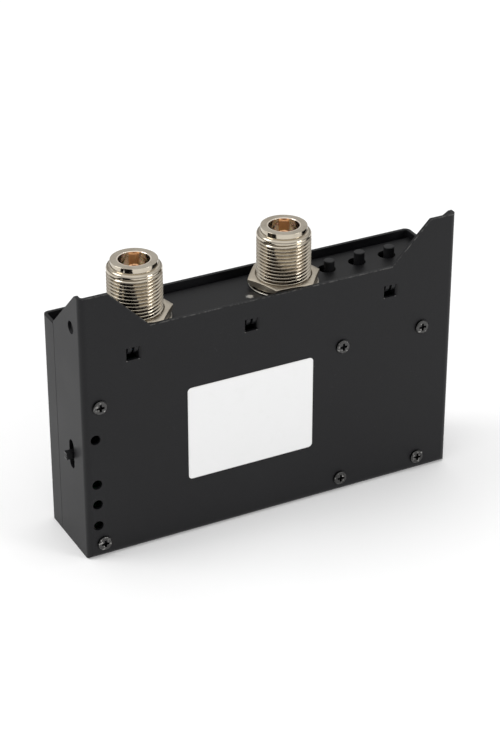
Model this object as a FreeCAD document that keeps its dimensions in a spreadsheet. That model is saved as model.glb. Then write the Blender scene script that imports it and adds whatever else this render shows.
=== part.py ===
"""Hand-held antenna analyzer in a folded sheet case, with two threaded coaxial sockets on top.

The frame has its origin under the middle of the case. +X runs to the end with the power
switch, +Y to the rear face, and +Z up to the sockets. All sizes are in millimetres.
"""
import FreeCAD, Part
import os

import Sketcher
from FreeCAD import Placement, Rotation, Vector

doc = FreeCAD.newDocument("antenna_analyzer")

SIZES = [
    # The folded case
    ("case_length", 119.0),
    ("case_depth", 26.8),
    ("sheet", 1.0),
    ("bend_radius", 1.8),
    ("seam_depth", 7.9),
    ("seam_gap", 0.16),
    ("corner_gap", 0.2),
    ("rim_height", 67.6),
    ("low_edge_rise", 3.4),
    ("ear_rise", 12.4),
    ("ear_top_length", 8.6),
    ("ear_side_top", 3.1),
    ("flange_seam_rise", 0.8),
    ("ear_corner_radius", 0.7),
    # The recessed top plate and the tabs of the rear cover that carry it
    ("plate_recess", 2.0),
    ("plate_flange", 3.4),
    ("plate_gap", 0.12),
    ("plate_corner", 0.75),
    ("tab_window_width", 3.8),
    ("tab_window_height", 3.8),
    ("tab_window_drop", 0.3),
    ("tab_bend", 0.95),
    ("tab_length", 2.6),
    ("tab_1_inset", 15.4),
    ("tab_2_inset", 52.0),
    ("tab_3_inset", 21.8),
    # Rear screws, counted from the ends and from the bottom or the top plate
    ("screw_left_inset", 5.0),
    ("screw_middle_inset", 37.1),
    ("screw_right_inset", 10.5),
    ("screw_low", 4.6),
    ("screw_drop", 16.45),
    ("screw_shank_dia", 1.9),
    ("screw_head_dia", 4.2),
    ("screw_head_height", 0.8),
    ("screw_head_edge", 0.25),
    ("screw_clearance", 0.2),
    ("screw_length", 6.0),
    ("cross_width", 0.7),
    ("cross_span", 2.3),
    ("cross_depth", 0.65),
    ("cross_pit_dia", 1.3),
    ("standoff_dia", 5.0),
    ("stud_length", 4.0),
    ("thread_gap", 0.05),
    ("board_screw_head_dia", 3.6),
    ("board_screw_head", 1.4),
    ("board_screw_length", 5.0),
    # Openings in the covers
    ("strap_hole_dia", 3.8),
    ("strap_hole_inset", 6.3),
    ("strap_hole_rise", 6.8),
    ("light_hole_dia", 3.0),
    ("light_inset", 3.4),
    ("light_1_height", 10.8),
    ("light_2_drop", 12.8),
    ("light_3_drop", 6.2),
    ("light_4_rise", 8.4),
    # Threaded sockets
    ("port_depth", 11.4),
    ("port_1_inset", 23.5),
    ("port_2_inset", 48.4),
    ("thread_dia", 15.875),
    ("thread_pitch", 1.0583),
    ("thread_depth", 0.649),
    ("thread_height", 15.65),
    ("nose_dia", 13.5),
    ("nose_height", 1.55),
    ("shoulder_flat", 0.1375),
    ("nose_band", 0.1),
    ("socket_bore", 9.0),
    ("socket_depth", 9.1),
    ("socket_lip", 0.1),
    ("coax_bore", 7.0),
    ("port_shank_dia", 15.4),
    ("port_flange_dia", 18.4),
    ("port_flange", 2.3),
    ("port_flange_flats", 16.8),
    ("port_barrel_dia", 11.0),
    ("port_barrel", 3.5),
    ("insulator_shoulder", 1.0),
    ("insulator_gap", 0.03),
    ("contact_dia", 3.04),
    ("contact_drop", 2.4),
    ("contact_bore", 1.65),
    ("contact_bore_depth", 5.0),
    ("contact_slot", 0.25),
    ("contact_slot_depth", 3.5),
    ("tail_dia", 1.4),
    ("tail_length", 4.5),
    ("nut_flats", 19.05),
    ("nut_height", 2.2),
    ("nut_corner_dia", 21.8),
    ("nut_chamfer", 0.75),
    ("nut_crown_dia", 17.9),
    ("nut_crown", 0.5),
    ("nut_gap", 0.05),
    ("nut_mouth", 16.5),
    ("nut_1_turn", 49.0),
    ("nut_2_turn", 51.0),
    ("washer_height", 0.9),
    ("washer_dia", 20.6),
    ("washer_rim", 0.8),
    ("washer_tooth_width", 1.3),
    # Main board and the parts on it
    ("board_thickness", 1.6),
    ("board_end_gap", 1.5),
    ("board_bottom_gap", 1.2),
    ("board_top_gap", 0.3),
    ("button_inset", 12.4),
    ("button_pitch", 10.1),
    ("button_depth", 10.1),
    ("button_dia", 3.2),
    ("button_stem_dia", 2.0),
    ("button_rise", 3.0),
    ("centre_button_extra", 0.5),
    ("button_chamfer", 0.2),
    ("button_shoulder_gap", 0.8),
    ("button_stem_depth", 1.8),
    ("button_travel", 0.35),
    ("button_floor_gap", 0.15),
    ("button_stem_gap", 0.2),
    ("button_hole_dia", 5.2),
    ("button_hole_shift_x", 0.4),
    ("button_hole_shift_y", -0.6),
    ("button_switch_width", 6.0),
    ("button_switch_depth", 3.8),
    ("button_switch_height", 5.0),
    # Power switch
    ("lever_board_gap", 3.75),
    ("lever_height", 30.6),
    ("lever_groove_width", 0.35),
    ("lever_groove_depth", 0.3),
    ("lever_width", 1.8),
    ("lever_length", 2.1),
    ("lever_reach", 2.0),
    ("lever_travel", 2.0),
    ("lever_slot_width", 3.2),
    ("lever_slot_length", 9.2),
    ("slide_gap", 0.3),
    ("carriage_width", 3.2),
    ("carriage_length", 4.8),
    ("carriage_height", 1.7),
    ("switch_wall", 1.1),
    ("switch_body_depth", 4.6),
    ("switch_frame", 0.4),
    ("switch_end_gap", 1.6),
    # Charging and data socket at the other end
    ("usb_height_above_bottom", 18.0),
    ("usb_width", 8.94),
    ("usb_thickness", 3.26),
    ("usb_length", 7.3),
    ("usb_wall", 0.3),
    ("usb_tongue", 0.7),
    ("usb_tongue_width", 6.7),
    ("usb_tongue_length", 4.5),
    ("usb_pocket", 6.2),
    ("usb_opening_gap", 0.35),
    ("usb_end_gap", 0.2),
    # Display
    ("display_side_gap", 0.95),
    ("display_bottom_gap", 2.5),
    ("display_top_gap", 0.5),
    ("display_thickness", 3.0),
    ("panel_thickness", 1.1),
    ("panel_margin", 0.3),
    ("gasket_thickness", 0.5),
    ("gasket_width", 2.3),
    ("window_lap", 0.3),
    ("window_radius", 1.5),
    ("ribbon_width", 20.0),
    ("ribbon_thickness", 0.3),
    ("ribbon_height", 16.0),
    ("ribbon_tail", 8.0),
    ("ribbon_lead", 4.0),
    ("ribbon_plug_height", 5.0),
    ("ribbon_plug_depth", 2.0),
    ("ribbon_plug_side", 1.0),
    # Battery and its lead
    ("battery_far_inset", 41.5),
    ("battery_height", 38.0),
    ("battery_front_gap", 1.5),
    ("battery_rise", 8.0),
    ("battery_inset", 22.5),
    ("battery_corner", 2.0),
    ("tape_thickness", 0.5),
    ("tape_border", 5.0),
    ("lead_dia", 1.2),
    ("lead_spacing", 2.0),
    ("lead_drop", 0.95),
    ("lead_run", 9.0),
    ("lead_rise", 30.0),
    ("plug_width", 6.0),
    ("plug_length", 4.5),
    ("plug_height", 2.4),
    ("header_wall", 0.8),
    ("header_floor", 1.2),
    ("header_height", 3.2),
    # Shields, processor and indicator lights on the board
    ("shield_length", 16.0),
    ("shield_height", 22.0),
    ("shield_thickness", 2.6),
    ("shield_sheet", 0.3),
    ("shield_drop", 5.0),
    ("chip_size", 10.0),
    ("chip_thickness", 1.2),
    ("chip_inset", 24.0),
    ("chip_rise", 13.0),
    ("light_width", 1.25),
    ("light_length", 2.0),
    ("light_thickness", 0.9),
    # Blank label on the rear face
    ("label_width", 40.2),
    ("label_height", 29.8),
    ("label_thickness", 0.12),
    ("label_radius", 1.2),
    ("label_inset", 52.05),
    ("label_rise", 18.2),
]

sizes = doc.addObject("Spreadsheet::Sheet", "Sizes")
sizes.set("A1", "name")
sizes.set("B1", "value in mm")
for row, (alias, value) in enumerate(SIZES, start=2):
    sizes.set(f"A{row}", alias)
    sizes.set(f"B{row}", str(value))
    sizes.setAlias(f"B{row}", alias)
doc.recompute()


def of(text):
    """Returns an expression in which every word of text that is a size names its cell."""
    for alias, _ in sorted(SIZES, key=lambda item: -len(item[0])):
        text = _whole_word(text, alias)
    return text


def _whole_word(text, alias):
    """Puts Sizes. before each place where alias stands alone in text."""
    out = []
    i = 0
    while i < len(text):
        j = i + len(alias)
        before = text[i - 1] if i else " "
        after = text[j] if j < len(text) else " "
        alone = not (before.isalnum() or before in "._") and not (after.isalnum() or after == "_")
        if text[i:j] == alias and alone:
            out.append("Sizes." + alias)
            i = j
        else:
            out.append(text[i])
            i += 1
    return "".join(out)


def mm(text):
    """Returns the number that an expression on the sizes has now."""
    return float(sizes.evalExpression(of(text)))


def bind(thing, prop, text):
    """Ties one property of an object to an expression on the sizes."""
    thing.setExpression(prop, of(text))


# Places that several pieces share, as expressions on the sizes
REAR = "case_depth / 2"
FRONT = "(-case_depth / 2)"
END = "case_length / 2"
SEAM = "(seam_depth - case_depth / 2)"
LOW_EDGE = "(rim_height + low_edge_rise)"
EAR = "(rim_height + low_edge_rise + ear_rise)"
PLATE = "(rim_height - plate_recess)"
PORT_1_X = "(case_length / 2 - port_1_inset)"
PORT_2_X = "(port_2_inset - case_length / 2)"
PORT_Y = "(port_depth - case_depth / 2)"
PORT_FLANGE_BOTTOM = "(rim_height - plate_recess - sheet - port_flange)"
PORT_BARREL_BOTTOM = f"({PORT_FLANGE_BOTTOM} - port_barrel)"
INSULATOR_BOTTOM = f"({PORT_BARREL_BOTTOM} - insulator_shoulder)"
THREAD_TOP = f"({PLATE} + thread_height)"
SHOULDER = "((thread_dia - nose_dia) / 2 - shoulder_flat)"
NOSE_TOP = f"({THREAD_TOP} + nose_band + {SHOULDER} + nose_height)"
NUT_TOP = f"({PLATE} + washer_height + nut_height)"
BOARD_FRONT = "(port_depth - case_depth / 2 + tail_dia / 2)"
BOARD_REAR = f"({BOARD_FRONT} + board_thickness)"
BOARD_TOP = f"({INSULATOR_BOTTOM} - board_top_gap)"
BOARD_BOTTOM = "(sheet + board_bottom_gap)"
BOARD_END = "(case_length / 2 - sheet - board_end_gap)"
LEFT_SCREW_X = "(case_length / 2 - screw_left_inset)"
MIDDLE_SCREW_X = "(screw_middle_inset - case_length / 2)"
RIGHT_SCREW_X = "(screw_right_inset - case_length / 2)"
HIGH_SCREW_Z = f"({PLATE} - screw_drop)"
DISPLAY_LOW = "(sheet + display_bottom_gap)"
DISPLAY_HIGH = f"({PORT_FLANGE_BOTTOM} - display_top_gap)"
DISPLAY_LEFT = f"({RIGHT_SCREW_X} + standoff_dia / 2 + display_side_gap)"
DISPLAY_RIGHT = f"({LEFT_SCREW_X} - standoff_dia / 2 - display_side_gap)"
GASKET_BACK = "(sheet + gasket_thickness - case_depth / 2)"
PANEL_BACK = f"({GASKET_BACK} + panel_thickness)"
DISPLAY_BACK = f"({PANEL_BACK} + display_thickness)"
LEVER_Y = f"({BOARD_REAR} + lever_board_gap)"
BUTTON_Y = "(button_depth - case_depth / 2)"
LIGHT_X = "(case_length / 2 - light_inset)"
SCREWS = [
    (LEFT_SCREW_X, "screw_low"),
    (LEFT_SCREW_X, HIGH_SCREW_Z),
    (RIGHT_SCREW_X, "screw_low"),
    (RIGHT_SCREW_X, HIGH_SCREW_Z),
    (MIDDLE_SCREW_X, "screw_low"),
    (MIDDLE_SCREW_X, HIGH_SCREW_Z),
]
CORNER_SCREWS = SCREWS[:4]
MIDDLE_SCREWS = SCREWS[4:]
LIGHTS = ["light_1_height", "(lever_height - light_2_drop)", "(lever_height - light_3_drop)",
          "(lever_height + light_4_rise)"]
TABS = [f"({END} - tab_1_inset)", f"({END} - tab_2_inset)", f"(tab_3_inset - {END})"]
BUTTONS = [("left_button", 2, "0"), ("centre_button", 1, "centre_button_extra"), ("right_button", 0, "0")]

NODES = []


def node(thing, name):
    """Gives an object its name and puts it on the list of sub-parts to be written."""
    thing.Label = name
    NODES.append(thing)
    return thing


def new_body(name):
    """Makes an empty body for one sub-part."""
    return node(doc.addObject("PartDesign::Body", name), name)


def place(thing, x="0", y="0", z="0", rotation=None):
    """Sets an object's rotation and ties its position to expressions."""
    if rotation is not None:
        thing.Placement = Placement(Vector(), rotation)
    bind(thing, "Placement.Base.x", x)
    bind(thing, "Placement.Base.y", y)
    bind(thing, "Placement.Base.z", z)
    return thing


def new_sketch(body, role, name, offset=None):
    """Makes a sketch on one of the body's own planes, moved along its normal by offset."""
    sketch = body.newObject("Sketcher::SketchObject", name)
    plane = next(f for f in body.Origin.OriginFeatures if f.Role == role)
    sketch.AttachmentSupport = [(plane, "")]
    sketch.MapMode = "FlatFace"
    if offset is not None:
        bind(sketch, "AttachmentOffset.Base.z", offset)
    return sketch


def fix_point(sketch, geometry, point, x, y):
    """Holds a point of a sketch at two expressions."""
    for kind, text in (("DistanceX", x), ("DistanceY", y)):
        index = sketch.addConstraint(Sketcher.Constraint(kind, geometry, point, mm(text)))
        bind(sketch, f"Constraints[{index}]", text)


def outline(sketch, points):
    """Draws a closed outline of straight lines through points given as expressions."""
    spots = [Vector(mm(x), mm(y), 0) for x, y in points]
    first = sketch.GeometryCount
    count = len(spots)
    for i in range(count):
        sketch.addGeometry(Part.LineSegment(spots[i], spots[(i + 1) % count]))
    for i in range(count):
        here = first + i
        after = first + (i + 1) % count
        sketch.addConstraint(Sketcher.Constraint("Coincident", here, 2, after, 1))
        fix_point(sketch, here, 1, *points[i])


def rectangle(sketch, left, low, right, high):
    """Draws a rectangle between two corners given as expressions."""
    outline(sketch, [(left, low), (right, low), (right, high), (left, high)])


def circle(sketch, x, y, radius):
    """Draws a circle whose centre and radius are expressions."""
    shape = Part.Circle(Vector(mm(x), mm(y), 0), Vector(0, 0, 1), mm(radius))
    index = sketch.addGeometry(shape)
    fix_point(sketch, index, 3, x, y)
    size = sketch.addConstraint(Sketcher.Constraint("Radius", index, mm(radius)))
    bind(sketch, f"Constraints[{size}]", radius)


def pad(body, sketch, length, back=False, both_ways=False):
    """Adds a sketch's area, extruded by length, to the body."""
    feature = body.newObject("PartDesign::Pad", sketch.Name + "_pad")
    feature.Profile = sketch
    bind(feature, "Length", length)
    feature.Reversed = back
    feature.Midplane = both_ways
    doc.recompute()
    return feature


def pocket(body, sketch, length=None, back=False, both_ways=False):
    """Cuts a sketch's area out of the body, right through unless a length is given.

    Raises RuntimeError when nothing is cut, because such a pocket shows no error itself.
    """
    before = body.Shape.Volume
    feature = body.newObject("PartDesign::Pocket", sketch.Name + "_pocket")
    feature.Profile = sketch
    if length is None:
        feature.Type = "ThroughAll"
    else:
        bind(feature, "Length", length)
    feature.Reversed = back
    feature.Midplane = both_ways
    doc.recompute()
    if body.Shape.Volume > before - 1e-6:
        raise RuntimeError(f"{sketch.Name} cuts nothing")
    return feature


def revolve(body, sketch, cut=False):
    """Turns a sketch once round its vertical axis, to add material or to cut it."""
    kind = "Groove" if cut else "Revolution"
    feature = body.newObject("PartDesign::" + kind, sketch.Name + "_turned")
    feature.Profile = sketch
    feature.ReferenceAxis = (sketch, ["V_Axis"])
    feature.Angle = 360.0
    doc.recompute()
    return feature


def soften(body, kind, size, chosen):
    """Fillets or chamfers the edges of a body that the test chosen picks out."""
    base = body.Tip
    names = [f"Edge{i}" for i, edge in enumerate(base.Shape.Edges, start=1) if chosen(edge)]
    if not names:
        raise RuntimeError(f"no edge of {body.Label} fits")
    feature = body.newObject("PartDesign::" + kind, body.Name + "_" + kind.lower())
    feature.Base = (base, names)
    bind(feature, "Radius" if kind == "Fillet" else "Size", size)
    doc.recompute()
    return feature


def middle(edge):
    """Returns the point half way along an edge."""
    return edge.valueAt((edge.FirstParameter + edge.LastParameter) / 2)


def straight_along(edge, direction):
    """Tells whether an edge is a straight line parallel to a direction."""
    if not isinstance(edge.Curve, (Part.Line, Part.LineSegment)):
        return False
    return abs(abs(edge.tangentAt(edge.FirstParameter).dot(direction)) - 1) < 1e-6


def near(value, target):
    """Tells whether two lengths agree within a thousandth of a millimetre."""
    return abs(value - target) < 1e-3


def box(name, low, high):
    """Makes a block between two corners given as expressions."""
    block = doc.addObject("Part::Box", name)
    for prop, a, b in zip(("Length", "Width", "Height"), low, high):
        bind(block, prop, f"({b}) - ({a})")
    return place(block, *low)


def rod(name, start, radius, length, rotation=None):
    """Makes a round bar from start, along Z unless a rotation is given."""
    bar = doc.addObject("Part::Cylinder", name)
    bind(bar, "Radius", radius)
    bind(bar, "Height", length)
    return place(bar, *start, rotation=rotation)


def taper(name, start, first, last, length, rotation=None):
    """Makes a cone that goes from the first radius to the last."""
    cone = doc.addObject("Part::Cone", name)
    bind(cone, "Radius1", first)
    bind(cone, "Radius2", last)
    bind(cone, "Height", length)
    return place(cone, *start, rotation=rotation)


def cut(name, base, tool):
    """Takes one object away from another."""
    result = doc.addObject("Part::Cut", name)
    result.Base = base
    result.Tool = tool
    return result


def fuse(name, parts):
    """Joins objects into one solid."""
    result = doc.addObject("Part::MultiFuse", name)
    result.Shapes = parts
    return result


def group(name, parts):
    """Puts separate solids into one sub-part."""
    result = doc.addObject("Part::Compound", name)
    result.Links = parts
    return node(result, name)


TO_REAR = Rotation(Vector(1, 0, 0), -90)
TO_FRONT = Rotation(Vector(1, 0, 0), 90)


def cover_shell(body, y_edge, y_face, height):
    """Builds the folded plate, end flanges and bottom flange that both covers share.

    The plate lies at y_face, and the flanges run from it to y_edge. Its own thickness goes
    towards the inside of the case.
    """
    inward = "-" if mm(y_face) > 0 else "+"
    inner = f"{y_face} {inward} sheet"
    wall = f"({END} - sheet)"
    block = new_sketch(body, "XY_Plane", body.Name + "_block")
    low, high = sorted([y_edge, y_face], key=mm)
    rectangle(block, f"-{END}", low, END, high)
    pad(body, block, height)
    face = mm(y_face)
    inside = mm(inner)
    end = mm(END)

    def outer_bend(edge):
        spot = middle(edge)
        upright = straight_along(edge, Vector(0, 0, 1)) and near(abs(spot.x), end)
        lying = straight_along(edge, Vector(1, 0, 0)) and near(spot.z, 0)
        return near(spot.y, face) and (upright or lying)

    soften(body, "Fillet", "bend_radius", outer_bend)
    room = new_sketch(body, "XY_Plane", body.Name + "_room", offset="sheet")
    low, high = sorted([y_edge, inner], key=mm)
    rectangle(room, f"-{wall}", low, wall, high)
    pocket(body, room, back=True)

    def inner_bend(edge):
        spot = middle(edge)
        upright = straight_along(edge, Vector(0, 0, 1)) and near(abs(spot.x), mm(wall))
        lying = straight_along(edge, Vector(1, 0, 0)) and near(spot.z, mm("sheet"))
        return near(spot.y, inside) and (upright or lying)

    soften(body, "Fillet", "bend_radius - sheet", inner_bend)
    gaps = new_sketch(body, "XY_Plane", body.Name + "_corner_gaps")
    low, high = sorted([y_edge, f"{y_face} {inward} bend_radius"], key=mm)
    rectangle(gaps, f"{wall} - corner_gap", low, wall, high)
    rectangle(gaps, f"-{wall}", low, f"corner_gap - {wall}", high)
    pocket(body, gaps, length="sheet", back=True)


def make_rear_cover():
    """The rear plate with its two ears, end flanges, bottom flange, holes and lanced tabs."""
    body = new_body("rear_cover")
    edge_y = f"({SEAM} + seam_gap / 2)"
    cover_shell(body, edge_y, REAR, EAR)

    low_edge = new_sketch(body, "XZ_Plane", "rear_low_edge")
    slope_top = f"({END} - ear_top_length)"
    slope_foot = f"({END} - ear_top_length - ear_rise)"
    above = f"({EAR} + sheet)"
    outline(low_edge, [
        (f"-{slope_top}", above), (f"-{slope_top}", EAR), (f"-{slope_foot}", LOW_EDGE),
        (slope_foot, LOW_EDGE), (slope_top, EAR), (slope_top, above),
    ])
    pocket(body, low_edge, both_ways=True)

    side_slope = new_sketch(body, "YZ_Plane", "rear_side_slope")
    before_seam = f"({SEAM} - sheet)"
    side_top = f"({REAR} - ear_side_top)"
    outline(side_slope, [
        (before_seam, above), (before_seam, "rim_height + flange_seam_rise"),
        (edge_y, "rim_height + flange_seam_rise"), (side_top, EAR), (side_top, above),
    ])
    pocket(body, side_slope, both_ways=True)

    ear = mm(EAR)
    corner_x = mm(slope_top)
    corner_y = mm(side_top)

    def ear_corner(edge):
        spot = middle(edge)
        on_plate = straight_along(edge, Vector(0, 1, 0)) and near(abs(spot.x), corner_x)
        on_side = straight_along(edge, Vector(1, 0, 0)) and near(spot.y, corner_y)
        return near(spot.z, ear) and (on_plate or on_side)

    soften(body, "Fillet", "ear_corner_radius", ear_corner)

    holes = new_sketch(body, "XZ_Plane", "rear_screw_holes")
    for x, z in SCREWS:
        circle(holes, x, z, "screw_shank_dia / 2 + screw_clearance")
    pocket(body, holes, back=False)
    face = mm(REAR)

    lights = new_sketch(body, "XZ_Plane", "rear_light_holes")
    for height in LIGHTS:
        circle(lights, LIGHT_X, height, "light_hole_dia / 2")
    pocket(body, lights)

    windows = new_sketch(body, "XZ_Plane", "rear_tab_windows")
    tab_top = f"({PLATE} - sheet)"
    window_top = f"({PLATE} - tab_window_drop)"
    window_low = f"({window_top} - tab_window_height)"
    for centre in TABS:
        left = f"({centre} - tab_window_width / 2)"
        rectangle(windows, left, window_low, f"{left} + tab_window_width", window_top)
    pocket(body, windows)

    tabs = new_sketch(body, "XZ_Plane", "rear_tabs", offset=f"-({REAR})")
    for centre in TABS:
        left = f"({centre} - tab_window_width / 2)"
        rectangle(tabs, f"{left} - sheet", window_low, left, tab_top)
    pad(body, tabs, "sheet + tab_length")
    hinges = [mm(f"{centre} - tab_window_width / 2") for centre in TABS]

    def tab_bend(edge):
        spot = middle(edge)
        at_hinge = any(near(spot.x, x) for x in hinges)
        return straight_along(edge, Vector(0, 0, 1)) and at_hinge and near(spot.y, face) and spot.z < mm(tab_top)

    soften(body, "Fillet", "tab_bend", tab_bend)

    side = new_sketch(body, "YZ_Plane", "rear_side_holes")
    circle(side, f"{REAR} - strap_hole_inset", f"{PLATE} + strap_hole_rise", "strap_hole_dia / 2")
    pocket(body, side, both_ways=True)
    stadium_pocket(body, "rear_lever_slot", LEVER_Y, "lever_height",
                   "lever_slot_width", "lever_slot_length", back=True)
    stadium_pocket(body, "rear_usb_opening", f"({BOARD_REAR} + usb_thickness / 2)", "usb_height_above_bottom",
                   "usb_thickness + 2 * usb_opening_gap", "usb_width + 2 * usb_opening_gap", back=False)


def stadium_pocket(body, name, y, z, width, length, back):
    """Cuts an upright slot with round ends through one end flange."""
    sketch = new_sketch(body, "YZ_Plane", name)
    half_width = f"(({width}) / 2)"
    straight = f"(({length}) / 2 - ({width}) / 2)"
    rectangle(sketch, f"{y} - {half_width}", f"{z} - {straight}", f"{y} + {half_width}", f"{z} + {straight}")
    pocket(body, sketch, back=back)
    for part, sign in (("upper", "+"), ("lower", "-")):
        ends = new_sketch(body, "YZ_Plane", f"{name}_{part}_end")
        circle(ends, y, f"{z} {sign} {straight}", half_width)
        pocket(body, ends, back=back)


def make_front_cover():
    """The front plate with the display window, end flanges and bottom flange."""
    body = new_body("front_cover")
    cover_shell(body, f"({SEAM} - seam_gap / 2)", FRONT, "rim_height")
    window = new_sketch(body, "XZ_Plane", "front_window")
    lap = "(gasket_width + window_lap)"
    rectangle(window, f"{DISPLAY_LEFT} + {lap}", f"{DISPLAY_LOW} + {lap}",
              f"{DISPLAY_RIGHT} - {lap}", f"{DISPLAY_HIGH} - {lap}")
    pocket(body, window, back=True)
    low = mm(f"{DISPLAY_LOW} + {lap}")
    high = mm(f"{DISPLAY_HIGH} - {lap}")

    def window_corner(edge):
        spot = middle(edge)
        return straight_along(edge, Vector(0, 1, 0)) and (near(spot.z, low) or near(spot.z, high))

    soften(body, "Fillet", "window_radius", window_corner)


def make_top_plate():
    """The recessed plate that carries the sockets, with a flange down its front edge."""
    body = new_body("top_plate")
    half = f"({END} - sheet - plate_gap)"
    side = new_sketch(body, "YZ_Plane", "plate_side")
    front = f"({FRONT} + sheet)"
    rear = f"({REAR} - sheet - plate_gap)"
    outline(side, [
        (front, PLATE), (rear, PLATE), (rear, f"{PLATE} - sheet"), (f"{front} + sheet", f"{PLATE} - sheet"),
        (f"{front} + sheet", f"{PLATE} - plate_flange"), (front, f"{PLATE} - plate_flange"),
    ])
    pad(body, side, f"2 * {half}", both_ways=True)
    front_y = mm(front)
    plate_z = mm(PLATE)

    def outer_bend(edge):
        spot = middle(edge)
        return straight_along(edge, Vector(1, 0, 0)) and near(spot.y, front_y) and near(spot.z, plate_z)

    def inner_bend(edge):
        spot = middle(edge)
        at_bend = near(spot.y, front_y + mm("sheet")) and near(spot.z, plate_z - mm("sheet"))
        return straight_along(edge, Vector(1, 0, 0)) and at_bend

    soften(body, "Fillet", "bend_radius", outer_bend)
    soften(body, "Fillet", "bend_radius - sheet", inner_bend)
    corners = new_sketch(body, "XY_Plane", "plate_corners")
    for x_sign in ("", "-"):
        for y in (front, rear):
            inwards = "+" if y == front else "-"
            outwards = "-" if y == front else "+"
            outline(corners, [
                (f"{x_sign}({half} + plate_corner)", f"({y}) {outwards} plate_corner"),
                (f"{x_sign}({half} - 2 * plate_corner)", f"({y}) {outwards} plate_corner"),
                (f"{x_sign}({half} + plate_corner)", f"({y}) {inwards} 2 * plate_corner"),
            ])
    pocket(body, corners, back=True)
    holes = new_sketch(body, "XY_Plane", "plate_holes")
    for x in (PORT_1_X, PORT_2_X):
        circle(holes, x, PORT_Y, "port_shank_dia / 2 + nut_gap")
    for index in range(len(BUTTONS)):
        x = f"({button_x(index)} + button_hole_shift_x)"
        circle(holes, x, f"{BUTTON_Y} + button_hole_shift_y", "button_hole_dia / 2")
    pocket(body, holes, back=True)


def button_x(index):
    """Returns the expression for the place of a button, counted from the end without the switch."""
    return f"(button_inset - {END} + {index} * button_pitch)"


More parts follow.
